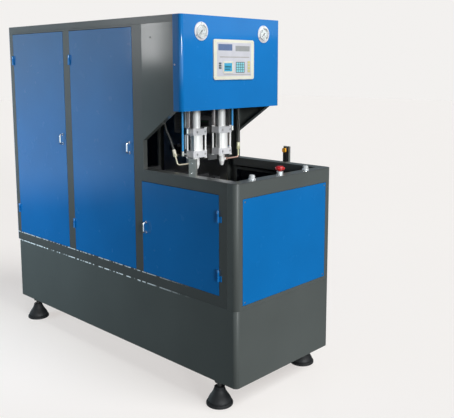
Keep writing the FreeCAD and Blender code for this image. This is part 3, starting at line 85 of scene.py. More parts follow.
class Step(Enum):
    """How a mapped value runs from its start to its end."""

    EVEN = "LINEAR"
    SMOOTH = "SMOOTHSTEP"


class Pick(Enum):
    """What is selected on a piece in edit mode."""

    FACES = "FACE"
    EDGES = "EDGE"


# ---------------------------------------------------------------- node graphs
class Nodes:
    """A node tree, with short ways to add, set and link its nodes."""

    def __init__(self, tree: bpy.types.NodeTree, clamped: bool) -> None:
        """Take a tree in hand, and note whether its sums are kept between 0 and 1."""
        self.tree, self.clamped = tree, clamped

    def feed(self, socket: Socket, value: object) -> None:
        """Link an output to a socket, or set the socket's own value.

        Args:
            socket: the input that is fed.
            value: an output, or the value to set.
        """
        if isinstance(value, bpy.types.NodeSocket):
            self.tree.links.new(value, socket)
        else:
            socket.default_value = value

    def node(self, kind: str, **sockets: object) -> bpy.types.Node:
        """Add a node and feed its inputs.

        Args:
            kind: the node's type name, without its common first part.
            sockets: input names with underscores for spaces, each with a value or an output.

        Returns:
            The new node.
        """
        made = self.tree.nodes.new("ShaderNode" + kind)
        for name, value in sockets.items():
            self.feed(made.inputs[name.replace("_", " ")], value)
        return made

    def sum(self, operation: str, first: Socket | float, second: Socket | float = 0.0) -> Socket:
        """Combine two values.

        Args:
            operation: the math operation.
            first: its first value.
            second: its second value.

        Returns:
            The result.
        """
        made = self.node("Math")
        made.operation, made.use_clamp = operation, self.clamped
        self.feed(made.inputs[0], first)
        self.feed(made.inputs[1], second)
        return made.outputs[0]

    def times(self, value: Socket | float, *factors: Socket | float) -> Socket:
        """Multiply several values.

        Args:
            value: the first value.
            factors: what it is multiplied by in turn.

        Returns:
            The result.
        """
        for factor in factors:
            value = self.sum("MULTIPLY", value, factor)
        return value

    def spread(self, value: Socket, low: float = 0.0, high: float = 1.0, start: float = 0.3,
               end: float = 0.7, step: Step = Step.EVEN) -> Socket:
        """Map a value between start and end to low and high, clamped.

        Args:
            value: what is mapped.
            low: the result at the start.
            high: the result at the end.
            start: the value at the start.
            end: the value at the end.
            step: how the result runs between them.

        Returns:
            The result.
        """
        made = self.node("MapRange", Value=value, From_Min=start, From_Max=end, To_Min=low, To_Max=high)
        made.interpolation_type = step.value
        return made.outputs["Result"]


class Graph(Nodes):
    """A material's nodes, wired from the machine's own coordinates."""

    def __init__(self, material: bpy.types.Material) -> None:
        """Start from the material's Principled shader.

        Args:
            material: the material whose nodes are wired.
        """
        super().__init__(material.node_tree, clamped=True)
        self.shader = self.tree.nodes["Principled BSDF"]
        self.place = self.node("TexCoord").outputs["Object"]

    @property
    def painted(self) -> Socket:
        """The colour that is linked so far."""
        return self.shader.inputs["Base Color"].links[0].from_socket

    def set(self, **values: object) -> None:
        """Feed the shader's own sockets; an underscore in a name stands for a space."""
        for name, value in values.items():
            self.feed(self.shader.inputs[name.replace("_", " ")], value)

    def axes(self) -> tuple[Socket, ...]:
        """The place across the machine, along it and above the floor."""
        return tuple(self.node("SeparateXYZ", Vector=self.place).outputs)

    def stretched(self, scale: Point) -> Socket:
        """Coordinates stretched along the three axes."""
        return self.node("Mapping", Vector=self.place, Scale=tuple(scale)).outputs["Vector"]

    def noise(self, scale: float, detail: float = 2.0, place: Socket | None = None) -> Socket:
        """A noise pattern's value, between 0 and 1."""
        return self.node("TexNoise", Vector=place or self.place, Scale=scale, Detail=detail).outputs["Fac"]

    def mix(self, share: Socket, first: Colour | Socket, second: Colour | Socket) -> Socket:
        """Mix two colours.

        Args:
            share: how much of the second shows.
            first: a colour or an output.
            second: a colour or an output.

        Returns:
            The mixed colour.
        """
        made = self.node("Mix")
        made.data_type = "RGBA"
        self.feed(made.inputs[0], share)
        for index, colour in ((6, first), (7, second)):
            linked = isinstance(colour, bpy.types.NodeSocket)
            self.feed(made.inputs[index], colour if linked else (*colour, 1.0))
        return made.outputs[2]

    def clouded(self, colour: Colour, scale: float, detail: float, dark: float,
                light: float = 1.0) -> Socket:
        """A colour that drifts between a darker and a lighter shade of itself."""
        return self.mix(self.spread(self.noise(scale, detail)), shade(colour, dark), shade(colour, light))

    def bump(self, height: Socket, depth: float, strength: float = 1.0) -> None:
        """Raise the surface by a height pattern of the given depth in metres."""
        made = self.node("Bump", Height=height, Strength=strength, Distance=depth).outputs["Normal"]
        self.set(Normal=made, Coat_Normal=made)


def shade(colour: Colour, factor: float) -> Colour:
    """The colour made lighter or darker."""
    return tuple(min(1.0, part * factor) for part in colour)


# ---------------------------------------------------------------- finishes
mixed: dict[str, bpy.types.Material] = {}


@dataclass(frozen=True)
class Finish:
    """A named surface finish; each kind wires its own nodes."""

    name: str
    colour: Colour
    roughness: float = 0.4

    def material(self) -> bpy.types.Material:
        """The finish's material, made on first use."""
        if self.name not in mixed:
            mixed[self.name] = bpy.data.materials.new(self.name)
            mixed[self.name].use_nodes = True
            self.wire(Graph(mixed[self.name]))
        return mixed[self.name]

    def wire(self, graph: Graph) -> None:
        """Wire the nodes of this finish."""
        raise NotImplementedError


@dataclass(frozen=True)
class Enamel(Finish):
    """Sprayed satin enamel: faint cloudiness in the colour, orange peel and a clear skin."""

    peel: float = 700.0
    peel_depth: float = 0.000015
    skin: float = 1.0
    skin_blur: float = 0.7

    def wire(self, graph: Graph) -> None:
        """Cloud the colour, vary the gloss and raise the orange peel.

        Args:
            graph: the material's nodes.
        """
        rough = self.roughness
        graph.set(Base_Color=graph.clouded(self.colour, 3.0, 3.0, 0.94, 1.06),
                  Roughness=graph.spread(graph.noise(14.0, 4.0), rough - 0.04, rough + 0.05),
                  Specular_IOR_Level=0.1, Coat_Weight=self.skin, Coat_Roughness=rough * self.skin_blur)
        graph.bump(graph.noise(self.peel, 2.0), self.peel_depth)


@dataclass(frozen=True)
class InsideShadedEnamel(Enamel):
    """Enamel on the outside of a right-hand panel, and near-black painted shade on the inside."""

    inside_shade: Colour = (0.006, 0.008, 0.012)
    outside_x: float = 0.3845

    def wire(self, graph: Graph) -> None:
        """Paint the enamel, and painted shade on all that lies further in than the outer face.

        Args:
            graph: the material's nodes.
        """
        super().wire(graph)
        outside = graph.spread(graph.axes()[0], start=self.outside_x - 0.0002, end=self.outside_x)
        # painted shade: the panels' inner faces are made near black, as they lie in shade inside the pit
        graph.set(Base_Color=graph.mix(outside, self.inside_shade, graph.painted))


@dataclass(frozen=True)
class WornEnamel(Enamel):
    """Enamel rubbed through to bare steel on top of the left rim, in patches and along its inner edge.

    A patch is its middle along the machine and half its length.
    """

    bare: Colour = (0.90, 0.89, 0.86)
    patches: tuple[tuple[float, float], ...] = ((-0.966, 0.066), (-0.828, 0.040), (-0.730, 0.048))
    inner_x: float = -0.325
    line_width: float = 0.010
    low: float = 1.163

    def wire(self, graph: Graph) -> None:
        """Paint the enamel and let bare steel through, with ragged edges.

        Args:
            graph: the material's nodes.
        """
        super().wire(graph)
        across, along, level = graph.axes()
        ragged = graph.spread(graph.noise(45.0, 4.0), -0.5, 0.5, 0.0, 1.0)
        along = graph.sum("ADD", along, graph.times(ragged, 0.09))
        level = graph.sum("ADD", level, graph.times(ragged, 0.012))
        line = graph.spread(across, start=self.inner_x - self.line_width,
                            end=self.inner_x - self.line_width / 2)
        wear_and_highlight = graph.times(line, graph.spread(graph.noise(22.0, 3.0), start=0.44, end=0.54))
        for middle, half in self.patches:
            away = graph.sum("ABSOLUTE", graph.sum("SUBTRACT", along, middle))
            wear_and_highlight = graph.sum("MAXIMUM", wear_and_highlight, graph.spread(away, 1.0, 0.0, half * 0.7, half))
        wear_and_highlight = graph.times(wear_and_highlight, graph.spread(level, start=self.low, end=self.low + 0.003),
                           graph.spread(across, 1.0, 0.0, self.inner_x + 0.002, self.inner_x + 0.004))
        graph.set(Base_Color=graph.mix(wear_and_highlight, graph.painted, self.bare),
                  Coat_Weight=graph.spread(wear_and_highlight, 1.0, 0.0, 0.0, 1.0))


@dataclass(frozen=True)
class EdgeHighlightEnamel(Enamel):
    """Enamel with a painted highlight: a bright line in short breaks along a level edge of the left-hand
    side.
    """

    highlight_colour: Colour = (0.84, 0.90, 0.92)
    edge_z: float = 0.540
    width: float = 0.006
    outside_x: float = -0.3846
    faded_y: float = -0.72
    strong_y: float = -0.30

    def wire(self, graph: Graph) -> None:
        """Paint the enamel and a painted highlight, a broken bright line just below the edge, fading towards
        the front.

        Args:
            graph: the material's nodes.
        """
        super().wire(graph)
        across, along, level = graph.axes()
        breaks = graph.noise(48.0, 1.0, graph.stretched((1.0, 1.0, 0.05)))
        low, soft = self.edge_z - self.width, 0.0006
        # painted highlight: the bright line that the edge's lip catches from above
        wear_and_highlight = graph.times(
            graph.spread(breaks, start=0.42, end=0.50),
            graph.spread(across, 1.0, 0.0, self.outside_x, self.outside_x + 0.0008),
            graph.spread(along, start=self.faded_y, end=self.strong_y),
            graph.spread(level, start=low - soft, end=low),
            graph.spread(level, 1.0, 0.0, self.edge_z, self.edge_z + soft))
        graph.set(Base_Color=graph.mix(wear_and_highlight, graph.painted, self.highlight_colour))


@dataclass(frozen=True)
class Metal(Finish):
    """Bare or plated metal with a brushed grain along one axis."""

    grain: Axis = Axis.Z
    grain_depth: float = 0.00002
    tarnish: float = 0.12
    bareness: float = 1.0

    def wire(self, graph: Graph) -> None:
        """Draw the grain along its axis and cloud the colour a little.

        Args:
            graph: the material's nodes.
        """
        lines = graph.noise(60.0, 4.0, graph.stretched([1.0 if part else 40.0 for part in self.grain.value]))
        graph.set(Base_Color=graph.clouded(self.colour, 18.0, 4.0, 1.0 - self.tarnish),
                  Metallic=self.bareness,
                  Roughness=graph.spread(lines, self.roughness - 0.06, self.roughness + 0.08))
        graph.bump(lines, self.grain_depth, 0.6)


@dataclass(frozen=True)
class TwoMetals(Metal):
    """A plated pipe whose upright end is brass."""

    upper: Colour = (0.84, 0.82, 0.50)
    level: float = 1.206

    def wire(self, graph: Graph) -> None:
        """Change the metal's colour above a level.

        Args:
            graph: the material's nodes.
        """
        super().wire(graph)
        above = graph.spread(graph.axes()[2], start=self.level, end=self.level + 0.002)
        graph.set(Base_Color=graph.mix(above, graph.painted, self.upper))


@dataclass(frozen=True)
class Plastic(Finish):
    """Moulded plastic with a fine grain."""

    grain: float = 1400.0
    grain_depth: float = 0.00003

    def wire(self, graph: Graph) -> None:
        """Raise the moulded grain and vary colour and gloss slightly.

        Args:
            graph: the material's nodes.
        """
        rough = self.roughness
        graph.set(Base_Color=graph.clouded(self.colour, 20.0, 2.0, 0.95, 1.04),
                  Roughness=graph.spread(graph.noise(60.0, 3.0), rough - 0.04, rough + 0.05))
        graph.bump(graph.noise(self.grain, 1.0), self.grain_depth)


@dataclass(frozen=True)
class PairedTube(Finish):
    """Glossy air tubes in pairs: the left one of each pair is blue, the right one smoke grey."""

    smoke: Colour = (0.16, 0.135, 0.13)
    between: float = 0.176

    def wire(self, graph: Graph) -> None:
        """Pick the colour by the place across the machine and cloud the wall.

        Args:
            graph: the material's nodes.
        """
        across, edge = graph.axes()[0], 0.0005
        left = graph.spread(across, 1.0, 0.0, -self.between - edge, -self.between + edge)
        right = graph.times(graph.spread(across, start=-edge, end=edge),
                            graph.spread(across, 1.0, 0.0, self.between - edge, self.between + edge))
        blue = graph.clouded(self.colour, 120.0, 2.0, 0.88, 1.06)
        graph.set(Base_Color=graph.mix(graph.sum("ADD", left, right), self.smoke, blue),
                  Roughness=graph.spread(graph.noise(60.0, 2.0), self.roughness, self.roughness + 0.08))
        graph.bump(graph.noise(300.0, 1.0), 0.00001)


@dataclass(frozen=True)
class Braid(Finish):
    """Dark wire braid that follows a hose, on the hose's own UV map."""

    along: float = 110.0
    around: float = 12.0
    depth: float = 0.0004

    def wire(self, graph: Graph) -> None:
        """Cross two diagonal sets of strands, with painted shade between them and a painted highlight on
        their crests.

        Args:
            graph: the material's nodes.
        """
        unrolled = graph.node("UVMap").outputs["UV"]
        strands = []
        for lean in (1.0, -1.0):
            turned = graph.node("Mapping", Vector=unrolled, Scale=(self.along, self.around * lean, 1.0))
            wave = graph.node("TexWave", Vector=turned.outputs["Vector"], Scale=0.5)
            wave.bands_direction = "DIAGONAL"
            strands.append(wave.outputs["Fac"])
        woven = graph.sum("MAXIMUM", *strands)
        # painted shade in the gaps between strands, painted highlight on their crests
        graph.set(Base_Color=graph.mix(woven, shade(self.colour, 0.4), shade(self.colour, 2.4)),
                  Metallic=0.7,
                  Roughness=graph.spread(woven, self.roughness + 0.2, self.roughness, 0.0, 1.0))
        graph.bump(woven, self.depth, 0.8)


@dataclass(frozen=True)
class Glass(Finish):
    """Clear glass with a faint ripple in its surface."""

    def wire(self, graph: Graph) -> None:
        """Let light through and raise the ripple."""
        graph.set(Base_Color=graph.clouded(self.colour, 6.0, 2.0, 0.98), Transmission_Weight=1.0,
                  Roughness=self.roughness, IOR=1.45)
        graph.bump(graph.noise(40.0, 1.0), 0.00001)


BLUE = Enamel("blue_enamel", (0.002, 0.153, 0.455), 0.23, skin_blur=0.30)
# the right-hand panels: blue enamel outside, near-black painted shade inside
INSIDE_SHADED_BLUE = InsideShadedEnamel("inside_shaded_blue_enamel", BLUE.colour, BLUE.roughness, skin_blur=BLUE.skin_blur)
GREY = Enamel("grey_enamel", (0.072, 0.078, 0.075), 0.38, skin=0.9)
# the rail and the skirt carry a painted highlight along their top edge on the left-hand side
RAIL_GREY = EdgeHighlightEnamel("rail_enamel", GREY.colour, 0.38, skin=0.9, edge_z=0.596, width=0.004)
SKIRT_GREY = EdgeHighlightEnamel("skirt_enamel", (0.086, 0.096, 0.092), 0.40, skin=0.3, skin_blur=1.1)
FRONT_GREY = Enamel("front_enamel", SKIRT_GREY.colour, SKIRT_GREY.roughness, skin=0.5, skin_blur=1.1)
CHEEK_GREY = Enamel("cheek_enamel", (0.086, 0.096, 0.091), 0.20)
RIM_GREY = WornEnamel("rim_enamel", (0.068, 0.072, 0.070))
# painted shade: near black for the machine bed deep in the pit, which lies in shade
PIT_SHADE = Enamel("pit_shade_black", (0.006, 0.006, 0.007), 0.6)
TANK = Enamel("tank_enamel", (0.02, 0.06, 0.16))
CAST = Enamel("cast_iron_paint", (0.05, 0.052, 0.055), 0.55, peel=300.0, peel_depth=0.00012)
MACHINED = Metal("ground_steel", (0.56, 0.56, 0.55), 0.32, Axis.Y)
CHROME_ROD = Metal("hard_chrome", (0.78, 0.78, 0.79), 0.14, tarnish=0.04)
CHROME_BAR = Metal("chromed_bar", CHROME_ROD.colour, 0.14, Axis.Y, tarnish=0.04)
DARK_ROD = Metal("oiled_rod", (0.42, 0.38, 0.37), 0.28, tarnish=0.2, bareness=0.5)
BRIGHT = Metal("polished_chrome", (0.85, 0.85, 0.85), 0.12, tarnish=0.03)
ZINC = Metal("zinc_plate", (0.60, 0.60, 0.57), 0.34, tarnish=0.2)
BRACKET_STEEL = Metal("bracket_steel", (0.60, 0.59, 0.54), 0.42, grain_depth=0.00004, tarnish=0.25)
ANODISED = Metal("anodised_aluminium", (0.86, 0.87, 0.88), 0.38, tarnish=0.05)
WHITE_METAL = Metal("satin_aluminium", (0.92, 0.92, 0.90), 0.42, tarnish=0.03, bareness=0.12)
CAP_METAL = Metal("cast_cap", (0.74, 0.74, 0.76), 0.48, Axis.X, tarnish=0.08, bareness=0.1)
DARK_METAL = Metal("dark_anodised", (0.12, 0.115, 0.11), 0.45, Axis.X)
NICKEL = Metal("nickel_plate", (0.66, 0.66, 0.62), 0.28, tarnish=0.15, bareness=0.8)
SATIN = Metal("satin_chrome", (0.88, 0.88, 0.88), 0.22, tarnish=0.03, bareness=0.55)
BRASS = Metal("turned_brass", (0.80, 0.62, 0.34), 0.28, tarnish=0.2)
COPPER = TwoMetals("drawn_copper", (0.82, 0.52, 0.42), 0.34, tarnish=0.1, bareness=0.6)
SILVER_PIPE = Metal("plated_pipe", (0.82, 0.76, 0.58), 0.34, tarnish=0.1, bareness=0.6)
GAUGE_WHITE = Metal("gauge_plate", (0.78, 0.78, 0.79), 0.30, tarnish=0.03, bareness=0.3)
SLEEVE_CREAM = Metal("sleeve_cream", (0.92, 0.88, 0.74), 0.36, tarnish=0.1, bareness=0.2)
SLEEVE_BRASS = Metal("sleeve_brass", (0.95, 0.93, 0.68), 0.36, tarnish=0.1, bareness=0.2)
RUBBER = Plastic("moulded_rubber", (0.012, 0.012, 0.013), 0.6, 500.0, 0.0001)
BLACK_PLASTIC = Plastic("moulded_black", (0.014, 0.014, 0.015), 0.42)
IVORY = Plastic("ivory_plastic", (0.64, 0.63, 0.53), 0.45)
RED_PLASTIC = Plastic("moulded_red", (0.52, 0.012, 0.012), 0.28, 900.0, 0.00001)
SILVER_PLASTIC = Plastic("silver_plastic", (0.62, 0.64, 0.64), 0.26, 900.0, 0.00001)
UNIT_GREY = Plastic("unit_plastic", (0.13, 0.135, 0.14), 0.5)
RING_BLUE = Plastic("ring_plastic", (0.01, 0.09, 0.35), 0.35)
PANEL_FIELD = Plastic("panel_field", (0.50, 0.50, 0.54), 0.5)
BAND_BLUE = Plastic("band_blue", (0.10, 0.15, 0.27), 0.5)
BAND_GREY = Plastic("band_grey", (0.27, 0.28, 0.28), 0.5)
LINE_BROWN = Plastic("line_brown", (0.30, 0.28, 0.25), 0.5)
DISPLAY = Plastic("display_film", (0.06, 0.33, 0.52), 0.2, 300.0, 0.00001)
DISPLAY_DARK = Plastic("display_segments", (0.02, 0.14, 0.20), 0.3)
KEY_CYAN = Plastic("cyan_keys", (0.22, 0.55, 0.62))
KEY_DARK = Plastic("dark_keys", (0.09, 0.11, 0.11), 0.45)
KEY_OLIVE = Plastic("olive_keys", (0.50, 0.46, 0.20), 0.45)
AMBER = Plastic("amber_window", (0.92, 0.42, 0.03), 0.2, 300.0, 0.00001)
LAMP_GREEN = Plastic("green_lamp", (0.02, 0.16, 0.05), 0.2, 300.0, 0.00001)
DIAL_WHITE = Plastic("dial_enamel", (0.75, 0.76, 0.76))
PRINT_DARK = Plastic("dial_print", (0.03, 0.03, 0.035), 0.5)
BLUE_TUBE = PairedTube("tube_wall", (0.05, 0.40, 0.85), 0.18)
BRAID = Braid("hose_braid", (0.05, 0.05, 0.046))
LENS = Glass("gauge_glass", (0.96, 0.98, 0.98), 0.03)


def dress(node: str, finish: Finish, edge: float = 0.0) -> None:
    """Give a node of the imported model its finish, and a fine rounding on its edges.

    Args:
        node: the node's name.
        finish: its finish.
        edge: the width of the rounding in metres, or 0 for none.
    """
    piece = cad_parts[node]
    for slot in piece.material_slots:
        slot.material = finish.material()
    if edge:
        piece.modifiers.new("weld", "WELD").merge_threshold = 0.00001
        bevel = piece.modifiers.new("edge", "BEVEL")
        bevel.width, bevel.segments = edge, 2
        bevel.limit_method, bevel.angle_limit = "ANGLE", math.radians(40)
        bevel.harden_normals = True
    log.info("%s: %s", node, finish.name)


# ---------------------------------------------------------------- the bench
def clear_bench() -> None:
    """Leave edit mode and deselect everything."""
    if bpy.context.object and bpy.context.object.mode != "OBJECT":
        bpy.ops.object.mode_set(mode="OBJECT")
    bpy.ops.object.select_all(action="DESELECT")


def facing(place: Point, towards: Point) -> Matrix:
    """Matrix that moves a model from the origin to a place and turns its +Z to a direction."""
    return Matrix.Translation(Vector(place)) @ Vector(towards).to_track_quat("Z", "Y").to_matrix().to_4x4()


def all_facing(places: Iterable[Point], towards: Point) -> list[Matrix]:
    """One such matrix for each of several places."""
    return [facing(place, towards) for place in places]


def shifted(places: Iterable[Point]) -> list[Matrix]:
    """Matrices that move a model from the origin to each place without a turn."""
    return [Matrix.Translation(Vector(place)) for place in places]


def round_about(place: Point, count: int) -> list[Matrix]:
    """Matrices that move a model to a place and turn it round the upright axis there, in even steps."""
    centre = Matrix.Translation(Vector(place))
    return [centre @ Matrix.Rotation(math.tau * number / count, 4, "Z") for number in range(count)]


def looking(towards: Point) -> Test:
    """A test for faces that look in a direction."""
    return lambda middle, normal: normal.dot(Vector(towards)) > 0.9


def parallel(axis: Axis) -> Test:
    """A test for faces that look along an axis, either way, or for edges that run along it."""
    return lambda middle, line: abs(line.dot(Vector(axis.value))) > 0.9


def in_shares(radius: float, height: float, shares: Iterable[Point]) -> list[Point]:
    """A profile for turning, from points in shares of its radius and height."""
    return [(radius * out, height * up) for out, up in shares]


class Blank:
    """A piece on the bench: started from a primitive, shaped with operators and fitted to the machine."""

    def __init__(self, name: str, piece: bpy.types.Object) -> None:
        """Take an object in hand and name it."""
        piece.name = piece.data.name = name
        self.piece = piece

    @classmethod
    def started(cls, name: str) -> "Blank":
        """The primitive that was just added, with its place and size in its mesh."""
        bpy.ops.object.transform_apply(location=True, rotation=True, scale=True)
        return cls(name, bpy.context.object)

    @classmethod
    def block(cls, name: str, low: Point, high: Point) -> "Blank":
        """Start from a square block.

        Args:
            name: the piece's name.
            low: its lowest corner.
            high: its highest corner.

        Returns:
            The block.
        """
        clear_bench()
        low, high = Vector(low), Vector(high)
        bpy.ops.mesh.primitive_cube_add(size=1.0, location=(low + high) / 2, scale=high - low)
        return cls.started(name)

    @classmethod
    def rod(cls, name: str, start: Point, end: Point, radius: float, sides: int) -> "Blank":
        """Start from a round or many-sided bar.

        Args:
            name: the piece's name.
            start: the middle of one end.
            end: the middle of the other end.
            radius: the radius to its corners.
            sides: the number of its sides.

        Returns:
            The bar.
        """
        clear_bench()
        start, end = Vector(start), Vector(end)
        along = end - start
        bpy.ops.mesh.primitive_cylinder_add(vertices=sides, radius=radius, depth=along.length,
                                            location=(start + end) / 2,
                                            rotation=along.to_track_quat("Z", "Y").to_euler())
        return cls.started(name)

    @classmethod
    def turned(cls, name: str, profile: Sequence[Point], start: Point = ORIGIN, towards: Point = UP,
               steps: int = 24) -> "Blank":
        """Spin a profile of (radius, height) points about an axis.

        Args:
            name: the piece's name.
            profile: the points, from the axis outwards and back, or a closed ring's section.
            start: the foot of the axis.
            towards: the axis's direction.
            steps: the number of steps in the turn.

        Returns:
            The turned piece.
        """
        clear_bench()
        radius, height = profile[0]
        bpy.ops.mesh.primitive_plane_add(size=MM, location=(radius, 0, height))
        blank = cls.started(name)
        bpy.ops.object.mode_set(mode="EDIT")
        bpy.ops.mesh.select_mode(type="VERT")
        bpy.ops.mesh.select_all(action="SELECT")
        bpy.ops.mesh.merge(type="CENTER")
        for before, after in zip(profile, profile[1:]):
            move = (after[0] - before[0], 0.0, after[1] - before[1])
            bpy.ops.mesh.extrude_region_move(TRANSFORM_OT_translate={"value": move})
        bpy.ops.mesh.select_all(action="SELECT")
        bpy.ops.mesh.spin(steps=steps, angle=math.tau, center=ORIGIN, axis=UP)
        bpy.ops.mesh.select_all(action="SELECT")
        bpy.ops.mesh.remove_doubles(threshold=0.000004)
        blank.turn_outwards()
        blank.piece.data.transform(facing(start, towards))
        return blank

    @classmethod
    def lettered(cls, name: str, text: str, place: Point, height: float, depth: float) -> "Blank":
        """Raised plain figures on a face that looks towards the front.

        Args:
            name: the piece's name.
            text: the figures.
            place: their middle, on the face.
            height: their size.
            depth: how far they stand out.

        Returns:
            The figures as a mesh.
        """
        clear_bench()
        bpy.ops.object.text_add()
        label = bpy.context.object.data
        label.body, label.size, label.extrude = text, height, depth / 2
        label.align_x = label.align_y = "CENTER"
        label.resolution_u = 3
        bpy.ops.object.convert(target="MESH")
        figures = cls(name, bpy.context.object)
        upright = Matrix.Rotation(math.pi / 2, 4, "X")
        figures.piece.data.transform(Matrix.Translation(Vector(place)) @ upright)
        return figures

    def hold(self) -> None:
        """Make this the only piece that is selected, and the active one."""
        clear_bench()
        bpy.context.view_layer.objects.active = self.piece
        self.piece.select_set(True)

    def turn_outwards(self) -> None:
        """Turn all faces outwards and leave edit mode."""
        bpy.ops.mesh.select_all(action="SELECT")
        bpy.ops.mesh.normals_make_consistent(inside=False)
        bpy.ops.object.mode_set(mode="OBJECT")

    def edit(self, pick: Pick, wanted: Test) -> None:
        """Enter edit mode with some faces or edges selected.

        Args:
            pick: whether faces or edges are tested.
            wanted: a test on the middle of each face or edge and its normal or direction.
        """
        self.hold()
        bpy.ops.object.mode_set(mode="EDIT")
        bpy.ops.mesh.select_mode(type=pick.value)
        bpy.ops.mesh.select_all(action="DESELECT")
        mesh = bmesh.from_edit_mesh(self.piece.data)
        if pick is Pick.FACES:
            for face in mesh.faces:
                face.select_set(wanted(face.calc_center_median(), face.normal))
        else:
            for edge in mesh.edges:
                first, last = (vertex.co for vertex in edge.verts)
                edge.select_set(wanted((first + last) / 2, (last - first).normalized()))
        bmesh.update_edit_mesh(self.piece.data)

    def inset(self, wanted: Test, width: float, depth: float = 0.0) -> "Blank":
        """Inset the chosen faces, and raise or sink them.

        Args:
            wanted: a test on each face's middle and normal.
            width: the width of the inset.
            depth: how far the faces rise, or sink if below 0.

        Returns:
            The piece.
        """
        self.edit(Pick.FACES, wanted)
        bpy.ops.mesh.inset(thickness=width, depth=0.0)
        if depth:
            bpy.ops.mesh.inset(thickness=0.00001, depth=depth)
        bpy.ops.object.mode_set(mode="OBJECT")
        return self

    def opened(self, wanted: Test, width: float) -> "Blank":
        """Leave only a rim round two opposite faces, open between them.

        Args:
            wanted: a test on each face's middle and normal.
            width: the width of the rim.

        Returns:
            The piece.
        """
        self.edit(Pick.FACES, wanted)
        bpy.ops.mesh.inset(thickness=width, depth=0.0)
        bpy.ops.mesh.bridge_edge_loops()
        self.turn_outwards()
        return self

    def extrude(self, wanted: Test, move: Point) -> "Blank":
        """Extrude the chosen faces.

        Args:
            wanted: a test on each face's middle and normal.
            move: how far they move along each axis.

        Returns:
            The piece.
        """
        self.edit(Pick.FACES, wanted)
        bpy.ops.mesh.extrude_region_move(TRANSFORM_OT_translate={"value": tuple(move)})
        bpy.ops.object.mode_set(mode="OBJECT")
        return self

    def rounded(self, width: float, segments: int = 2, along: Axis | None = None) -> "Blank":
        """Round every sharp edge, or only those along one axis.

        Args:
            width: the width of the rounding.
            segments: its steps.
            along: the axis, or None for every sharp edge.

        Returns:
            The piece.
        """
        if along is None:
            return self.modified("BEVEL", width=width, segments=segments, limit_method="ANGLE",
                                 angle_limit=math.radians(30))
        self.edit(Pick.EDGES, parallel(along))
        bpy.ops.mesh.bevel(offset=width, segments=segments, affect="EDGES")
        bpy.ops.object.mode_set(mode="OBJECT")
        return self

    def modified(self, kind: str, **settings: object) -> "Blank":
        """Add a modifier and apply it.

        Args:
            kind: the modifier's type.
            settings: its settings.

        Returns:
            The piece.
        """
        self.hold()
        change = self.piece.modifiers.new(kind.lower(), kind)
        for name, value in settings.items():
            setattr(change, name, value)
        bpy.ops.object.modifier_apply(modifier=change.name)
        return self

    def cut_by(self, tool: "Blank") -> "Blank":
        """Cut another piece's shape out of this one, and remove the tool.

        Args:
            tool: the piece that is cut out.

        Returns:
            The piece that is left.
        """
        self.modified("BOOLEAN", operation="DIFFERENCE", object=tool.piece, solver="MANIFOLD")
        tool.scrap()
        return self

    def copy(self, name: str, change: Matrix) -> "Blank":
        """A copy with its own mesh, moved or turned.

        Args:
            name: the copy's name.
            change: the move or turn.

        Returns:
            The copy.
        """
        piece = self.piece.copy()
        piece.data = self.piece.data.copy()
        piece.data.transform(change)
        bpy.context.scene.collection.objects.link(piece)
        return Blank(name, piece)

    def scrap(self) -> None:
        """Remove a model that was only copied from."""
        bpy.data.objects.remove(self.piece)

    def fit(self, finish: Finish, slot: str, body: str = ROOT) -> None:
        """Give the piece its finish and let it ride on the machine.

        Args:
            finish: its finish.
            slot: the record's material slot that it belongs to; not used.
            body: the body that it moves with.
        """
        self.hold()
        bpy.ops.object.shade_smooth_by_angle(angle=math.radians(35.0))
        self.piece.data.materials.clear()
        self.piece.data.materials.append(finish.material())
        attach(self.piece, body)
        log.info("%s: %s, rides on %s", self.piece.name, finish.name, body)


def united(name: str, pieces: Sequence[Blank]) -> Blank:
    """Join pieces into one.

    Args:
        name: the name of the whole piece.
        pieces: what is joined.

    Returns:
        The joined piece.
    """
    clear_bench()
    for blank in pieces:
        blank.piece.select_set(True)
    bpy.context.view_layer.objects.active = pieces[0].piece
    if len(pieces) > 1:
        bpy.ops.object.join()
    return Blank(name, pieces[0].piece)


def group(name: str, model: Blank, places: Iterable[Matrix]) -> Blank:
    """Copy a model to each place and join the copies into one piece.

    Args:
        name: the name of the whole piece.
        model: what is copied; it is removed afterwards.
        places: one matrix for each copy.

    Returns:
        The joined piece.
    """
    copies = [model.copy(name, place) for place in places]
    model.scrap()
    return united(name, copies)


@dataclass(frozen=True)
class CrossHead:
    """A kind of screw head with a cross recess; its outline is in shares of its radius and height."""

    outline: tuple[tuple[float, float], ...]
    slit: float
    floor: float
    arm: float = 0.6

    def screw(self, radius: float, height: float) -> Blank:
        """Make a head at the origin, towards +Z.

        Args:
            radius: its radius.
            height: its height.

        Returns:
            The head.
        """
        head = Blank.turned("screw", in_shares(radius, height, self.outline), steps=20)
        arm, slit = radius * self.arm, radius * self.slit
        for x, y in ((arm, slit), (slit, arm)):
            head.cut_by(Blank.block("recess", (-x, -y, height * self.floor), (x, y, height * 2)))
        return head


PAN_HEAD = CrossHead(((0, 0), (1, 0), (1, 0.35), (0.85, 0.8), (0.5, 1), (0, 1)), slit=0.13, floor=0.3)
COUNTERSUNK = CrossHead(((0, 0), (1, 0), (0.97, 0.5), (0.7, 1), (0, 1)), slit=0.14, floor=0.2)


def socket_screw(radius: float, height: float) -> Blank:
    """Socket screw's head at the origin, towards +Z."""
    head = Blank.turned("screw", in_shares(radius, height, ((0, 0), (1, 0), (1, 0.9), (0.9, 1), (0, 1))))
    return head.cut_by(Blank.rod("recess", (0, 0, height * 0.4), (0, 0, height * 2), radius * 0.5, 6))


def hexagon_head(flats: float, height: float) -> Blank:
    """Hexagon head or nut at the origin, towards +Z, from its width across flats."""
    return Blank.rod("head", ORIGIN, (0, 0, height), flats / math.sqrt(3), 6)


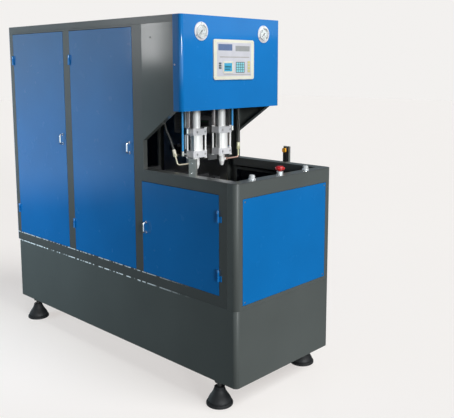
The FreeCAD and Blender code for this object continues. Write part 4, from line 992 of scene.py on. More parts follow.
def thread(radius: float, depth: float, pitch: float, start: Point, end: Point) -> Blank:
    """A raised helical thread ridge round a bar.

    Args:
        radius: the radius of the crest.
        depth: the depth of the thread.
        pitch: its pitch.
        start: where it starts, on the bar's axis.
        end: where it ends.

    Returns:
        The ridge as one closed strip.
    """
    clear_bench()
    start, end = Vector(start), Vector(end)
    root = radius - depth - 0.0002
    bpy.ops.mesh.primitive_circle_add(vertices=3, radius=pitch * 0.5, location=ORIGIN, fill_type="NGON")
    ridge = Blank.started("ridge")
    section = ((radius, 0.0), (root, pitch * 0.48), (root, -pitch * 0.48))
    for vertex, (x, z) in zip(ridge.piece.data.vertices, section):
        vertex.co = (x, 0.0, z + pitch / 2)
    turns = max(1, round(((end - start).length - pitch) / pitch))
    ridge.modified("SCREW", axis="Z", angle=math.tau, screw_offset=pitch, iterations=turns, steps=20,
                   render_steps=20, use_merge_vertices=True)
    ridge.edit(Pick.FACES, lambda middle, normal: True)
    ridge.turn_outwards()
    ridge.piece.data.transform(facing(start, end - start))
    return ridge


# ---------------------------------------------------------------- the studio
@dataclass
class Studio:
    """Plain pale floor, soft lights and the camera at the photograph's viewing angle."""

    image_width: float = 454.0
    sensor: float = 36.0
    focal_pixels: float = 670.6
    centre_above_middle: float = 45.0
    camera_place: Point = (-2.666, -3.186, 1.726)
    camera_turn: float = 46.02
    camera_tilt: float = 8.23
    camera_roll: float = -0.11
    floor_size: float = 60.0
    floor_colour: Colour = (0.40, 0.40, 0.39)
    floor_glow: Colour = (0.586, 0.556, 0.540)
    backdrop: Colour = (0.895, 0.879, 0.863)
    room_tint: Colour = (0.74, 0.91, 1.0)
    ambient: float = 0.112
    mirrored_low: float = 0.08
    mirrored_high: float = 0.12
    mirrored_rear: float = 0.64
    mirrored_top: float = 0.24
    mirrored_near: float = 1.10
    mirrored_strip: float = 1.6
    panel_spread: float = 70.0
    fill_colour: Colour = (0.70, 0.88, 1.0)

    def build(self) -> None:
        """Make the floor, the lights, the world and the camera."""
        bpy.context.scene.view_settings.view_transform = "Standard"
        self.floor()
        self.world()
        self.lights()
        self.camera()

    def floor(self) -> None:
        """A large pale floor that shows the machine's shadow and throws no light back."""
        clear_bench()
        bpy.ops.mesh.primitive_grid_add(x_subdivisions=4, y_subdivisions=4, size=self.floor_size)
        ground = bpy.context.object
        ground.name = "studio_floor"
        finish = bpy.data.materials.new("pale_floor")
        finish.use_nodes = True
        graph = Graph(finish)
        graph.set(Base_Color=graph.clouded(self.floor_colour, 0.8, 1.0, 0.995), Roughness=1.0,
                  Specular_IOR_Level=0.0, Emission_Color=(*self.floor_glow, 1.0), Emission_Strength=1.0)
        ground.data.materials.append(finish)
        ground.visible_glossy = ground.visible_diffuse = False

    def world(self) -> None:
        """A pale backdrop for the camera, dim light on the machine, and a brighter room for its gloss."""
        world = bpy.data.worlds.new("studio")
        bpy.context.scene.world = world
        world.use_nodes = True
        nodes = Nodes(world.node_tree, clamped=False)
        result = nodes.tree.nodes["Background"]
        nodes.feed(result.inputs["Color"], (*self.room_tint, 1.0))
        nodes.feed(result.inputs["Strength"], self.ambient)
        rays = nodes.node("LightPath").outputs
        for kind, colour, strength in (("Is Glossy Ray", self.room_tint, self.mirrored_room(nodes)),
                                       ("Is Camera Ray", self.backdrop, 1.0)):
            sky = nodes.node("Background", Color=(*colour, 1.0), Strength=strength)
            mix = nodes.node("MixShader")
            for socket, value in zip(mix.inputs, (rays[kind], result.outputs[0], sky.outputs[0])):
                nodes.feed(socket, value)
            result = mix
        nodes.feed(nodes.tree.nodes["World Output"].inputs["Surface"], result.outputs[0])

    def mirrored_room(self, nodes: Nodes) -> Socket:
        """How bright the room is that the gloss mirrors, in each direction.

        It is dim below the horizon and brighter above it. It is brightest at the rear, on the camera's side
        of the machine, and in upright light bands straight ahead and straight behind. What lies ahead,
        behind and on the camera's side fades out higher up.

        Args:
            nodes: the world's nodes.

        Returns:
            The brightness.
        """
        def ramp(value: Socket, start: float, end: float) -> Socket:
            """Smooth step from 0 at start to 1 at end."""
            return nodes.spread(value, start=start, end=end, step=Step.SMOOTH)

        directions = nodes.node("TexCoord").outputs["Generated"]
        x, y, z = nodes.node("SeparateXYZ", Vector=directions).outputs
        above = ramp(z, -0.21, -0.14)
        rear = nodes.times(above, ramp(y, 0.745, 0.815))
        top = nodes.times(rear, ramp(z, -0.12, 0.03))
        low = nodes.sum("SUBTRACT", 1.0, ramp(z, 0.08, 0.22))
        beside_camera = ramp(nodes.times(nodes.sum("ADD", x, y), -0.707), 0.25, 0.80)
        near = nodes.times(beside_camera, ramp(z, -0.40, -0.10), low)
        ahead = nodes.times(ramp(nodes.times(y, -1.0), 0.955, 0.985), low)
        behind = nodes.times(ramp(y, 0.955, 0.985), low)
        room = self.mirrored_low
        for share, strength in ((above, self.mirrored_high), (rear, self.mirrored_rear),
                                (top, self.mirrored_top), (near, self.mirrored_near),
                                (ahead, self.mirrored_strip), (behind, self.mirrored_strip)):
            room = nodes.sum("ADD", nodes.times(share, strength), room)
        return room

    def lights(self) -> None:
        """Key light from above the front, a light from beside the camera, and panels for gloss and fill."""
        self.sun("key_light", (0.12, -0.60, 0.78), 2.3, 30.0)
        self.sun("front_light", (-0.33, -0.92, 0.15), 1.9, 12.0)
        back = self.sun("back_light", (0.70, 0.71, 0.04), 1.3, 12.0)
        for name, place, aim, size, power in (
            ("cheek_sheen", (-3.6, 3.47, 2.78), (-0.4, -0.45, 1.9), (0.32, 2.0), 16.0),
            ("hood_sheen", (3.0, -3.5, 2.85), (0.0, -0.7, 1.8), (2.6, 1.6), 8.0),
        ):
            self.panel(name, place, aim, size, power).visible_diffuse = False
        glow = self.panel("hood_glow", (0.2, -2.0, 2.35), (0.05, -0.66, 2.0), (0.8, 0.3), 1.3)
        fill = self.panel("rear_fill", (-2.3, 1.9, 1.0), (-0.4, 0.7, 0.70), (1.2, 1.2), 8.0)
        fill.data.color = self.fill_colour
        for lamp in (glow, fill):
            lamp.data.spread = math.radians(self.panel_spread)
        for lamp in (back, glow, fill):
            lamp.visible_glossy = False

    def hang(self, lamp: bpy.types.Light, away: Point, place: Point = ORIGIN) -> bpy.types.Object:
        """Put a light in the scene.

        Args:
            lamp: the light.
            away: the direction from what it lights to the light.
            place: its place.

        Returns:
            The light's object.
        """
        holder = bpy.data.objects.new(lamp.name, lamp)
        holder.location = place
        holder.rotation_euler = Vector(away).to_track_quat("Z", "Y").to_euler()
        bpy.context.scene.collection.objects.link(holder)
        return holder

    def sun(self, name: str, away: Point, strength: float, softness: float) -> bpy.types.Object:
        """A distant light.

        Args:
            name: its name.
            away: the direction from the machine to the light.
            strength: its strength.
            softness: its angle in degrees.

        Returns:
            The light's object.
        """
        lamp = bpy.data.lights.new(name, "SUN")
        lamp.energy, lamp.angle = strength, math.radians(softness)
        return self.hang(lamp, away)

    def panel(self, name: str, place: Point, aim: Point, size: Point, power: float) -> bpy.types.Object:
        """A rectangular soft light.

        Args:
            name: its name.
            place: its centre.
            aim: the point it faces.
            size: its width and height.
            power: its power in watts.

        Returns:
            The light's object.
        """
        lamp = bpy.data.lights.new(name, "AREA")
        lamp.shape, lamp.energy = "RECTANGLE", power
        lamp.size, lamp.size_y = size
        return self.hang(lamp, Vector(place) - Vector(aim), place)

    def camera(self) -> None:
        """The photograph's camera: its place, direction, lens and frame."""
        lens = bpy.data.cameras.new("camera")
        lens.sensor_width = self.sensor
        lens.lens = self.focal_pixels * self.sensor / self.image_width
        lens.shift_y = -self.centre_above_middle / self.image_width
        lens.clip_end = 200.0
        holder = bpy.data.objects.new("camera", lens)
        bpy.context.scene.collection.objects.link(holder)
        holder.matrix_world = Matrix.Translation(Vector(self.camera_place))
        for angle, axis in ((-self.camera_turn, "Z"), (90.0 - self.camera_tilt, "X"),
                            (self.camera_roll, "Z")):
            holder.matrix_world = holder.matrix_world @ Matrix.Rotation(math.radians(angle), 4, axis)
        bpy.context.scene.camera = holder


# ---------------------------------------------------------------- the machine's sub-assemblies
Dressing = tuple[tuple[str, Finish, float], ...]
Span = tuple[float, float]
Edges = tuple[float, float, float, float]


def box_of(node: str) -> tuple[Vector, Vector]:
    """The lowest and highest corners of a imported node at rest."""
    low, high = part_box(node)
    return Vector(low), Vector(high)


class SubAssembly:
    """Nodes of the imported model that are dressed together, and the small pieces that go on them."""

    dressing: ClassVar[Dressing] = ()

    def build(self) -> None:
        """Dress the nodes, then add the pieces."""
        for node, finish, edge in self.dressing:
            dress(node, finish, edge)
        self.add_pieces()

    def add_pieces(self) -> None:
        """Build the small pieces."""
        raise NotImplementedError


@dataclass
class Cabinet(SubAssembly):
    """Skirt, frames, table rim, panels and roof, with their screws and the seals behind the doors.

    A right panel is its span along the machine, its span of levels and its rows of screws; a doorway is its
    name and the same two spans.
    """

    dressing: ClassVar[Dressing] = (
        # the machine bed carries near-black painted shade
        ("base_skirt", SKIRT_GREY, SHEET), ("machine_bed", PIT_SHADE, 0.0), ("left_side_frame", RAIL_GREY, SHEET),
        ("right_side_frame", GREY, SHEET), ("front_frame", FRONT_GREY, SHEET), ("front_panel", BLUE, SHEET),
        ("table_rim", RIM_GREY, SHEET), ("cabinet_roof", GREY, SHEET), ("back_panel", BLUE, SHEET),
        ("right_side_panels", INSIDE_SHADED_BLUE, SHEET), ("frame_hinge_halves", BLUE, 0.0),
    )
    right_panels: tuple[tuple[Span, Span, int], ...] = (
        ((-0.927, -0.337), (0.598, 1.108), 3), ((-0.270, 0.330), (0.598, 1.940), 5),
        ((0.400, 1.000), (0.598, 1.940), 5))
    doorways: tuple[tuple[str, Span, Span], ...] = (
        ("lower", (-0.9285, -0.3355), (0.5965, 1.1095)), ("middle", (-0.2715, 0.3315), (0.5965, 1.9415)),
        ("rear", (0.3985, 1.0015), (0.5965, 1.9415)))
    screw_radius: float = 0.0046
    screw_height: float = 0.0024
    flush_height: float = 0.0006
    screw_inset: float = 0.015
    seal_width: float = 0.008
    seal_thickness: float = 0.0018
    lip_face: float = -0.363
    wall: float = 0.385

    def add_pieces(self) -> None:
        """Screws down the panels' edges and a foam seal on the stop lip behind each door."""
        self.flush_screws("front_panel", FRONT, 2)
        places = [(self.wall, y, z) for panel in self.right_panels for y, z in self.two_columns(*panel)]
        screw = PAN_HEAD.screw(self.screw_radius, self.screw_height)
        group("right_panel_screws", screw, all_facing(places, RIGHT)).fit(ZINC, "zinc_steel")
        self.flush_screws("back_panel", REAR, 6)
        for name, (front, rear), (low, high) in self.doorways:
            seal = Blank.block(f"door_seal_{name}", (self.lip_face - self.seal_thickness, front, low),
                               (self.lip_face, rear, high))
            seal.opened(parallel(Axis.X), self.seal_width)
            seal.rounded(self.seal_thickness * 0.3).fit(RUBBER, "black_rubber")

    def two_columns(self, across: Span, levels: Span, rows: int) -> list[Span]:
        """Even places down both upright edges of a panel.

        Args:
            across: its upright edges.
            levels: its lower and upper edge.
            rows: the number of places at each side.

        Returns:
            Each place across the panel and its level.
        """
        inset = self.screw_inset
        step = (levels[1] - levels[0] - 2 * inset) / (rows - 1)
        return [(place, levels[0] + inset + step * row) for row in range(rows)
                for place in (across[0] + inset, across[1] - inset)]

    def flush_screws(self, panel: str, towards: Point, rows: int) -> None:
        """Countersunk screws of the front or the back panel.

        Args:
            panel: the panel's node.
            towards: the direction that its outer face looks in.
            rows: the number of screws at each side.
        """
        low, high = box_of(panel)
        face = low.y if towards is FRONT else high.y
        places = [(x, face, z) for x, z in self.two_columns((low.x, high.x), (low.z, high.z), rows)]
        screw = COUNTERSUNK.screw(self.screw_radius, self.flush_height)
        group(f"{panel}_screws", screw, all_facing(places, towards)).fit(ZINC, "zinc_steel")


@dataclass
class Doors(SubAssembly):
    """The three hinged doors of the left side with their pull handles and inner stiffeners."""

    dressing: ClassVar[Dressing] = (
        ("tall_door_rear", BLUE, SHEET), ("tall_door_middle", BLUE, SHEET), ("lower_door", BLUE, SHEET),
        ("handle_rear", BRIGHT, 0.0), ("handle_middle", BRIGHT, 0.0), ("handle_lower", BRIGHT, 0.0),
    )
    skin: float = -0.383
    half_width: float = 0.025
    margin: float = 0.06
    hat_depth: float = 0.010

    def add_pieces(self) -> None:
        """A stiffener on each door."""
        for door in ("tall_door_rear", "tall_door_middle", "lower_door"):
            self.stiffener(door)

    def stiffener(self, door: str) -> None:
        """Top-hat rib welded up the middle of a door's inner face.

        Args:
            door: the door's node, which is also its body.
        """
        low, high = box_of(door)
        middle, half = (low.y + high.y) / 2, self.half_width
        rib = Blank.block(f"{door}_rib", (self.skin, middle - half, low.z + self.margin),
                          (self.skin + SHEET, middle + half, high.z - self.margin))
        rib.inset(looking(RIGHT), half * 0.35)
        rib.extrude(lambda place, normal: normal.x > 0.9 and abs(place.y - middle) < half * 0.3,
                    (self.hat_depth, 0, 0))
        rib.rounded(0.0008).fit(BLUE, "blue_paint", door)


@dataclass
class Gauge:
    """White dial, scale and flange screws of a pressure gauge; marks are a count, a length and a width."""

    name: str
    x: float
    z: float = 1.908
    dial_face: float = -0.669
    flange_face: float = -0.668
    radius: float = 0.0316
    thickness: float = 0.0002
    marks: tuple[tuple[int, float, float], ...] = ((51, 0.0022, 0.00035), (11, 0.0042, 0.0008))
    mark_height: float = 0.00012
    mark_margin: float = 0.0016
    sweep: float = 270.0
    figures: int = 6
    figure_height: float = 0.0072
    screw_circle: float = 0.0418

    def build(self) -> None:
        """Add the dial plate, its scale and three small screws in the flange."""
        radius, thick = self.radius, self.thickness
        plate = Blank.turned(f"gauge_dial_{self.name}", [(0, 0), (radius, 0), (radius, thick * 0.5),
                                                         (radius - thick, thick), (0, thick)],
                             (self.x, self.dial_face, self.z), FRONT, 48)
        plate.fit(DIAL_WHITE, "gauge_metal")
        self.scale()
        places = [(self.x + self.screw_circle * math.cos(math.radians(turn)), self.flange_face,
                   self.z + self.screw_circle * math.sin(math.radians(turn))) for turn in (90, 210, 330)]
        screw = PAN_HEAD.screw(0.0034, 0.0018)
        group(f"gauge_screws_{self.name}", screw, all_facing(places, FRONT)).fit(BRIGHT, "bright_chrome")

    def angle(self, share: float) -> float:
        """The clockwise angle from the top at a share of the scale."""
        return math.radians(self.sweep * (share - 0.5))

    def scale(self) -> None:
        """Fine and main marks, and a plain even number at every second main mark."""
        height, outer = self.mark_height, self.radius - self.mark_margin
        top = self.dial_face - self.thickness
        centre = Matrix.Translation((self.x, top, self.z))
        marks = []
        for count, length, width in self.marks:
            bar = Blank.block("mark", (-width / 2, -height, outer - length), (width / 2, 0, outer))
            bar.rounded(height * 0.4, 1)
            marks += [bar.copy("mark", centre @ Matrix.Rotation(self.angle(number / (count - 1)), 4, "Y"))
                      for number in range(count)]
            bar.scrap()
        for number in range(self.figures):
            angle, reach = self.angle(number / (self.figures - 1)), self.radius * 0.64
            place = (self.x + reach * math.sin(angle), top - height / 2, self.z + reach * math.cos(angle))
            marks.append(Blank.lettered("figure", str(2 * number), place, self.figure_height, height))
        united(f"gauge_scale_{self.name}", marks).fit(PRINT_DARK, "black_plastic")


def keys(left: float, top: float, right: float, bottom: float, columns: int, rows: int) -> tuple[Edges, ...]:
    """Edges of each of the keys that fill a field of the operator panel in even columns and rows."""
    wide, high = (right - left) / columns, (bottom - top) / rows
    return tuple((left + wide * (column + 0.1), top + high * (row + 0.1), left + wide * (column + 0.9),
                  top + high * (row + 0.9)) for column, row in product(range(columns), range(rows)))


@dataclass(frozen=True)
class Plates:
    """Raised plates of the operator panel that make one piece.

    Their left, top, right and bottom edges are shares of the panel's width and height, from its top left.
    """

    name: str
    finish: Finish
    slot: str
    edges: tuple[Edges, ...]
    corner: float = 0.002
    raised: float = 0.0004
    thickness: float = 0.0004
    rim: float = 0.0
    sunk: float = 0.0


@dataclass
class OperatorFace:
    """Printed field, display, keys and screws of the operator panel."""

    front: float = -0.671
    plates: tuple[Plates, ...] = (
        Plates("panel_field", PANEL_FIELD, "ivory_plastic", ((0.075, 0.075, 0.925, 0.915),), 0.004, 0.0),
        Plates("panel_band_left", BAND_BLUE, "ivory_plastic", ((0.105, 0.115, 0.445, 0.275),)),
        Plates("panel_band_right", BAND_GREY, "ivory_plastic", ((0.525, 0.150, 0.885, 0.285),)),
        Plates("panel_lines", LINE_BROWN, "ivory_plastic",
               ((0.145, 0.425, 0.875, 0.445), (0.235, 0.868, 0.915, 0.882)), 0.0005, thickness=0.00024),
        Plates("display_bezel", IVORY, "ivory_plastic", ((0.215, 0.545, 0.465, 0.835),), 0.003,
               thickness=0.0022, rim=0.0045, sunk=0.0012),
        Plates("display_glass", DISPLAY, "unit_plastic", ((0.243, 0.585, 0.437, 0.795),), 0.0008, 0.0013,
               0.0006),
        Plates("display_rows", DISPLAY_DARK, "unit_plastic",
               ((0.255, 0.655, 0.405, 0.700), (0.255, 0.725, 0.385, 0.760)), 0.0004, 0.0019, 0.0001),
        Plates("keypad_base", KEY_DARK, "black_plastic", ((0.530, 0.555, 0.755, 0.830),)),
        Plates("keypad_keys", KEY_CYAN, "unit_plastic", keys(0.540, 0.565, 0.745, 0.820, 4, 4), 0.0018,
               0.0006, 0.0011),
        Plates("selector_keys", KEY_DARK, "black_plastic", keys(0.108, 0.565, 0.185, 0.735, 1, 3), 0.0018,
               0.0006, 0.0011),
        Plates("function_keys", KEY_OLIVE, "ivory_plastic", keys(0.822, 0.525, 0.905, 0.830, 1, 4), 0.0018,
               0.0006, 0.0011),
    )
    screw_shares: tuple[Span, ...] = ((0.04, 0.055), (0.96, 0.055), (0.04, 0.945), (0.96, 0.945))

    def build(self) -> None:
        """Add all the plates and the small screws in the corners."""
        for plates in self.plates:
            made = united(plates.name, [self.plate(plates, edges) for edges in plates.edges])
            if plates.sunk:
                made.inset(looking(FRONT), plates.rim, -plates.sunk)
            made.fit(plates.finish, plates.slot)
        places = [(x, self.front, z) for x, z in (self.place(*shares) for shares in self.screw_shares)]
        screws = group("operator_plate_screws", PAN_HEAD.screw(0.0028, 0.0014), all_facing(places, FRONT))
        screws.fit(IVORY, "ivory_plastic")

    def place(self, across: float, down: float) -> Span:
        """Point of the panel from shares of its width and height."""
        low, high = box_of("operator_panel")
        return low.x + across * (high.x - low.x), high.z - down * (high.z - low.z)

    def plate(self, plates: Plates, edges: Edges) -> Blank:
        """One raised plate with round corners.

        Args:
            plates: the group that it belongs to.
            edges: its edges, as shares.

        Returns:
            The plate.
        """
        (x0, z1), (x1, z0) = self.place(*edges[:2]), self.place(*edges[2:])
        back = self.front - plates.raised
        slab = Blank.block(plates.name, (x0, back - plates.thickness, z0), (x1, back, z1))
        return slab.rounded(plates.corner, 4, Axis.Y).rounded(min(plates.thickness * 0.35, 0.0006), 1)


@dataclass
class Head(SubAssembly):
    """Hood with its gauges and operator panel, the cheeks, and the plate that carries the working parts."""

    dressing: ClassVar[Dressing] = (
        ("head_side_panels", CHEEK_GREY, SHEET), ("head_hood", BLUE, SHEET), ("head_plate", MACHINED, SHEET),
        ("gauge_cases", GAUGE_WHITE, 0.0), ("gauge_lenses", LENS, 0.0), ("operator_panel", IVORY, SHEET),
        ("gauge_needle_left", BLACK_PLASTIC, 0.0), ("gauge_needle_right", BLACK_PLASTIC, 0.0),
    )
    gauge_x: float = 0.243
    wall: float = 0.385

    def add_pieces(self) -> None:
        """Gauge dials, the hood's plated and the cheeks' blackened screws, and the operator panel's face."""
        for side, name in SIDES:
            Gauge(name, side * self.gauge_x).build()
        for name, y, z, finish in (("hood_screws", -0.618, 1.738, ZINC),
                                   ("cheek_screws", -0.430, 1.880, DARK_METAL)):
            places = [facing((side * self.wall, y, z), (side, 0, 0)) for side, _ in SIDES]
            group(name, PAN_HEAD.screw(0.0045, 0.0022), places).fit(finish, "zinc_steel")
        OperatorFace().build()


@dataclass
class Hose:
    """A braided blow-air hose from a nozzle's pipe to the head plate, with the sleeve that holds its end."""

    name: str
    points: tuple[Point, ...]
    length: float
    sleeve_foot: Point
    sleeve_finish: Finish
    radius: float = 0.0065
    bore: float = 0.0086
    crest: float = 0.0100
    groove: float = 0.0093
    first_ridge: float = 0.0150
    ridge_pitch: float = 0.0045
    ridges: int = 5

    def build(self) -> None:
        """Add the sleeve and the hose."""
        self.sleeve()
        self.braid()

    def sleeve(self) -> None:
        """Ridged sleeve that is crimped over the hose's lower end."""
        start, end = Vector(self.sleeve_foot), Vector(self.points[0])
        length, first = (end - start).length, self.first_ridge
        profile = [(self.bore, first), (self.crest, first)]
        for number in range(self.ridges):
            profile += [(radius, first + self.ridge_pitch * (number + share)) for radius, share in (
                (self.crest, 0.55), (self.groove, 0.7), (self.groove, 0.9), (self.crest, 1.0))]
        profile += [(self.crest, length - 0.0004), (self.groove, length), (self.radius, length),
                    (self.bore, length - 0.001), (self.bore, first)]
        sleeve = Blank.turned(f"hose_sleeve_{self.name}", profile, start, end - start, 28)
        sleeve.fit(self.sleeve_finish, "brass_fitting", f"nozzle_{self.name}")

    def braid(self) -> None:
        """The hose itself, a braided tube along its points, in place of the model's own hose."""
        clear_bench()
        bpy.ops.curve.primitive_nurbs_path_add()
        hose = bpy.context.object
        hose.name = f"braided_hose_{self.name}"
        curve = hose.data
        curve.splines.remove(curve.splines[0])
        spline = curve.splines.new("NURBS")
        spline.points.add(len(self.points) - 1)
        for control, point in zip(spline.points, self.points):
            control.co = (*point, 1.0)
        spline.order_u, spline.use_endpoint_u, spline.resolution_u = 3, True, 24
        curve.dimensions, curve.use_fill_caps = "3D", True
        centre = [vertex.co.copy() for vertex in bpy.data.meshes.new_from_object(hose).vertices]
        curve.bevel_depth, curve.bevel_resolution = self.radius, 10
        bpy.ops.object.convert(target="MESH")
        bpy.ops.object.shade_smooth()
        hose.data.materials.clear()
        hose.data.materials.append(BRAID.material())
        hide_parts(f"blow_hose_{self.name}")
        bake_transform(hose)


@dataclass
class SealingStation(SubAssembly):
    """The sealing cylinders over the two preform places, with nozzles, stretch rods, air lines and hoses."""

    dressing: ClassVar[Dressing] = (
        ("guide_rods", DARK_ROD, 0.0), ("cylinder_bracket", DARK_METAL, SHEET),
        ("hanger_tubes", WHITE_METAL, 0.0), ("sealing_cylinder_caps", CAP_METAL, SHEET),
        ("sealing_cylinder_tie_rods", WHITE_METAL, 0.0), ("sealing_cylinder_barrels", WHITE_METAL, 0.0),
        ("stretch_cylinder", ANODISED, 0.0), ("air_tubes", BLUE_TUBE, 0.0), ("air_fittings", NICKEL, 0.0),
        ("nozzle_left", WHITE_METAL, 0.0), ("nozzle_right", WHITE_METAL, 0.0),
        ("blow_pipe_left", SILVER_PIPE, 0.0), ("blow_pipe_right", COPPER, 0.0),
        ("stretch_crosshead", ANODISED, SHEET), ("stretch_rods", CHROME_ROD, 0.0),
    )
    hoses: tuple[Hose, ...] = (
        Hose("left", ((-0.242, -0.4400, 1.2766), (-0.242, -0.4190, 1.3288), (-0.251, -0.3910, 1.3803),
                      (-0.242, -0.3630, 1.4318), (-0.242, -0.3630, 1.4880)),
             0.2294, (-0.242, -0.4550, 1.2395), SLEEVE_CREAM),
        Hose("right", ((0.242, -0.473, 1.28300), (0.242, -0.473, 1.33425), (0.251, -0.473, 1.38550),
                       (0.242, -0.473, 1.43675), (0.242, -0.473, 1.48800)),
             0.2059, (0.242, -0.473, 1.243), SLEEVE_BRASS),
    )
    cavity_x: float = 0.100
    cavity_y: float = -0.473
    cap_front: float = -0.512
    cap_levels: Span = (1.246, 1.370)
    plug_offset: float = 0.030
    tube_feet: tuple[Point, ...] = ((-0.184, -0.451, 1.264), (-0.168, -0.473, 1.388), (0.184, -0.451, 1.264),
                                    (0.168, -0.495, 1.388))
    tube_top: float = 1.494
    ring_bore: float = 0.0062
    ring_radius: float = 0.0076
    ring_height: float = 0.0025
    seal_bore: float = 0.0096
    seal_radius: float = 0.0016
    seal_z: float = 1.1815
    rear_screw_y: float = -0.285

    def add_pieces(self) -> None:
        """Plugs, release rings, seals, hoses and screws."""
        places = [(cavity + offset, self.cap_front, level) for cavity, level, offset in product(
            (-self.cavity_x, self.cavity_x), self.cap_levels, (-self.plug_offset, self.plug_offset))]
        plug = socket_screw(0.0055, 0.0012)
        group("cap_port_plugs", plug, all_facing(places, FRONT)).fit(ZINC, "zinc_steel")
        self.release_rings()
        self.nozzle_seals()
        for hose in self.hoses:
            hose.build()
        top = box_of("stretch_crosshead")[1].z
        places = [(x, y, top) for x, y in ((-self.cavity_x, self.cavity_y), (self.cavity_x, self.cavity_y),
                                           (0, self.rear_screw_y))]
        screws = group("crosshead_screws", socket_screw(0.0085, 0.006), all_facing(places, UP))
        screws.fit(ZINC, "zinc_steel", "stretch_crosshead")

    def release_rings(self) -> None:
        """Blue release rings of the push-in fittings, at both ends of each air tube."""
        inner, outer, height = self.ring_bore, self.ring_radius, self.ring_height
        ring = Blank.turned("ring", [(inner, 0), (outer * 0.92, 0), (outer, height * 0.4), (outer, height),
                                     (inner, height), (inner, 0)])
        tops = [(x, y, self.tube_top) for x, y, _ in self.tube_feet]
        places = all_facing(self.tube_feet, UP) + all_facing(tops, DOWN)
        group("fitting_release_rings", ring, places).fit(RING_BLUE, "blue_tube")

    def nozzle_seals(self) -> None:
        """Black sealing ring round the tip of each nozzle."""
        section = [(self.seal_bore + self.seal_radius * (1 - math.cos(turn)),
                    self.seal_radius * math.sin(turn)) for turn in (math.tau * n / 10 for n in range(11))]
        for side, name in SIDES:
            place = (side * self.cavity_x, self.cavity_y, self.seal_z)
            ring = Blank.turned(f"nozzle_seal_{name}", section, place, steps=28)
            ring.fit(RUBBER, "black_rubber", f"nozzle_{name}")


@dataclass
class ControlRow(SubAssembly):
    """Two start buttons and the emergency stop on the front rail."""

    dressing: ClassVar[Dressing] = (
        ("control_bezels", SATIN, 0.0), ("start_button_left", SILVER_PLASTIC, 0.0),
        ("start_button_right", SILVER_PLASTIC, 0.0), ("emergency_stop_cap", RED_PLASTIC, 0.0),
    )
    row_y: float = -1.015
    button_xs: Span = (-0.240, 0.190)
    button_top: float = 1.200
    dish_radius: float = 0.0129
    dish_height: float = 0.0012
    knurl_foot: float = 1.175
    knurl_radius: float = 0.019
    knurl_height: float = 0.005
    stop_x: float = -0.025
    flute_circle: float = 0.0238
    flute_radius: float = 0.0018
    flute_span: Span = (0.005, 0.0124)
    cap_foot: float = 1.203

    def add_pieces(self) -> None:
        """A dished cap and a knurled collar on each start button, and grip flutes round the stop."""
        dish = in_shares(self.dish_radius, self.dish_height, (
            (0, 0), (1, 0), (1, 0.6), (0.96, 1), (0.86, 1), (0.6, 0.5), (0, 0.3)))
        edge = self.knurl_radius
        for (_, name), x in zip(SIDES, self.button_xs):
            cap = Blank.turned(f"button_dish_{name}", dish, (x, self.row_y, self.button_top), UP, 36)
            cap.fit(SILVER_PLASTIC, "light_grey_paint", f"start_button_{name}")
            tooth = Blank.block("tooth", (edge - 0.0004, -0.0011, 0.0008),
                                (edge + 0.0007, 0.0011, self.knurl_height))
            turns = round_about((x, self.row_y, self.knurl_foot), 24)
            group(f"button_knurl_{name}", tooth.rounded(0.0003, 1), turns).fit(BRIGHT, "bright_chrome")
        low, high = ((self.flute_circle, 0, level) for level in self.flute_span)
        flute = Blank.rod("flute", low, high, self.flute_radius, 12).rounded(0.0005)
        flutes = group("stop_cap_flutes", flute, round_about((self.stop_x, self.row_y, self.cap_foot), 20))
        flutes.fit(RED_PLASTIC, "red_plastic", "emergency_stop_cap")


@dataclass
class BeamSensors(SubAssembly):
    """The pair of light-beam sensors on steel brackets either side of the pit."""

    dressing: ClassVar[Dressing] = (("sensor_brackets", BRACKET_STEEL, 0.0004),
                                    ("beam_sensors", BLACK_PLASTIC, SHEET))
    sensor_y: float = -0.735
    inner_x: float = 0.359
    window_levels: Span = (1.234, 1.258)
    window_half: float = 0.0115
    window_depths: Span = (0.0016, 0.0110)
    rib_faces: Span = (0.3585, 0.3595)
    rib_half: float = 0.011
    rib_levels: Span = (1.190, 1.218)
    rib_height: float = 0.003
    lamp_place: Point = (0.368, -0.729, 1.264)
    bracket_x: float = 0.380
    screw_levels: Span = (1.196, 1.246)

    def add_pieces(self) -> None:
        """Windows, lamps, ribs and screws."""
        for (side, name), depth in zip(SIDES, self.window_depths):
            window = self.slab(f"sensor_window_{name}", side, (self.inner_x, self.inner_x - depth),
                               self.window_half, self.window_levels)
            window.rounded(0.005, 4, Axis.X).inset(looking((-side, 0, 0)), 0.0016, -0.0005)
            window.fit(AMBER, "red_plastic")
            x, y, z = self.lamp_place
            lamp = Blank.turned(f"sensor_lamp_{name}", [(0, 0), (0.0022, 0), (0.0020, 0.0010),
                                                       (0.0012, 0.0018), (0, 0.0021)],
                                (side * x, y, z), UP, 16)
            lamp.fit(LAMP_GREEN, "green_plastic")
            for level in self.rib_levels:
                rib = self.slab(f"sensor_rib_{name}_{round(level * 1000)}", side, self.rib_faces,
                                self.rib_half, (level, level + self.rib_height))
                rib.rounded(0.0004).fit(BLACK_PLASTIC, "black_plastic")
        places = [facing((side * self.bracket_x, self.sensor_y, level), (side, 0, 0))
                  for (side, _), level in product(SIDES, self.screw_levels)]
        group("sensor_screws", PAN_HEAD.screw(0.0040, 0.0020), places).fit(BRIGHT, "zinc_steel")

    def slab(self, name: str, side: int, faces: Span, half: float, levels: Span) -> Blank:
        """A block on a sensor, from its faces' distances to the middle, half its width and its levels."""
        left, right = sorted(side * face for face in faces)
        return Blank.block(name, (left, self.sensor_y - half, levels[0]),
                           (right, self.sensor_y + half, levels[1]))


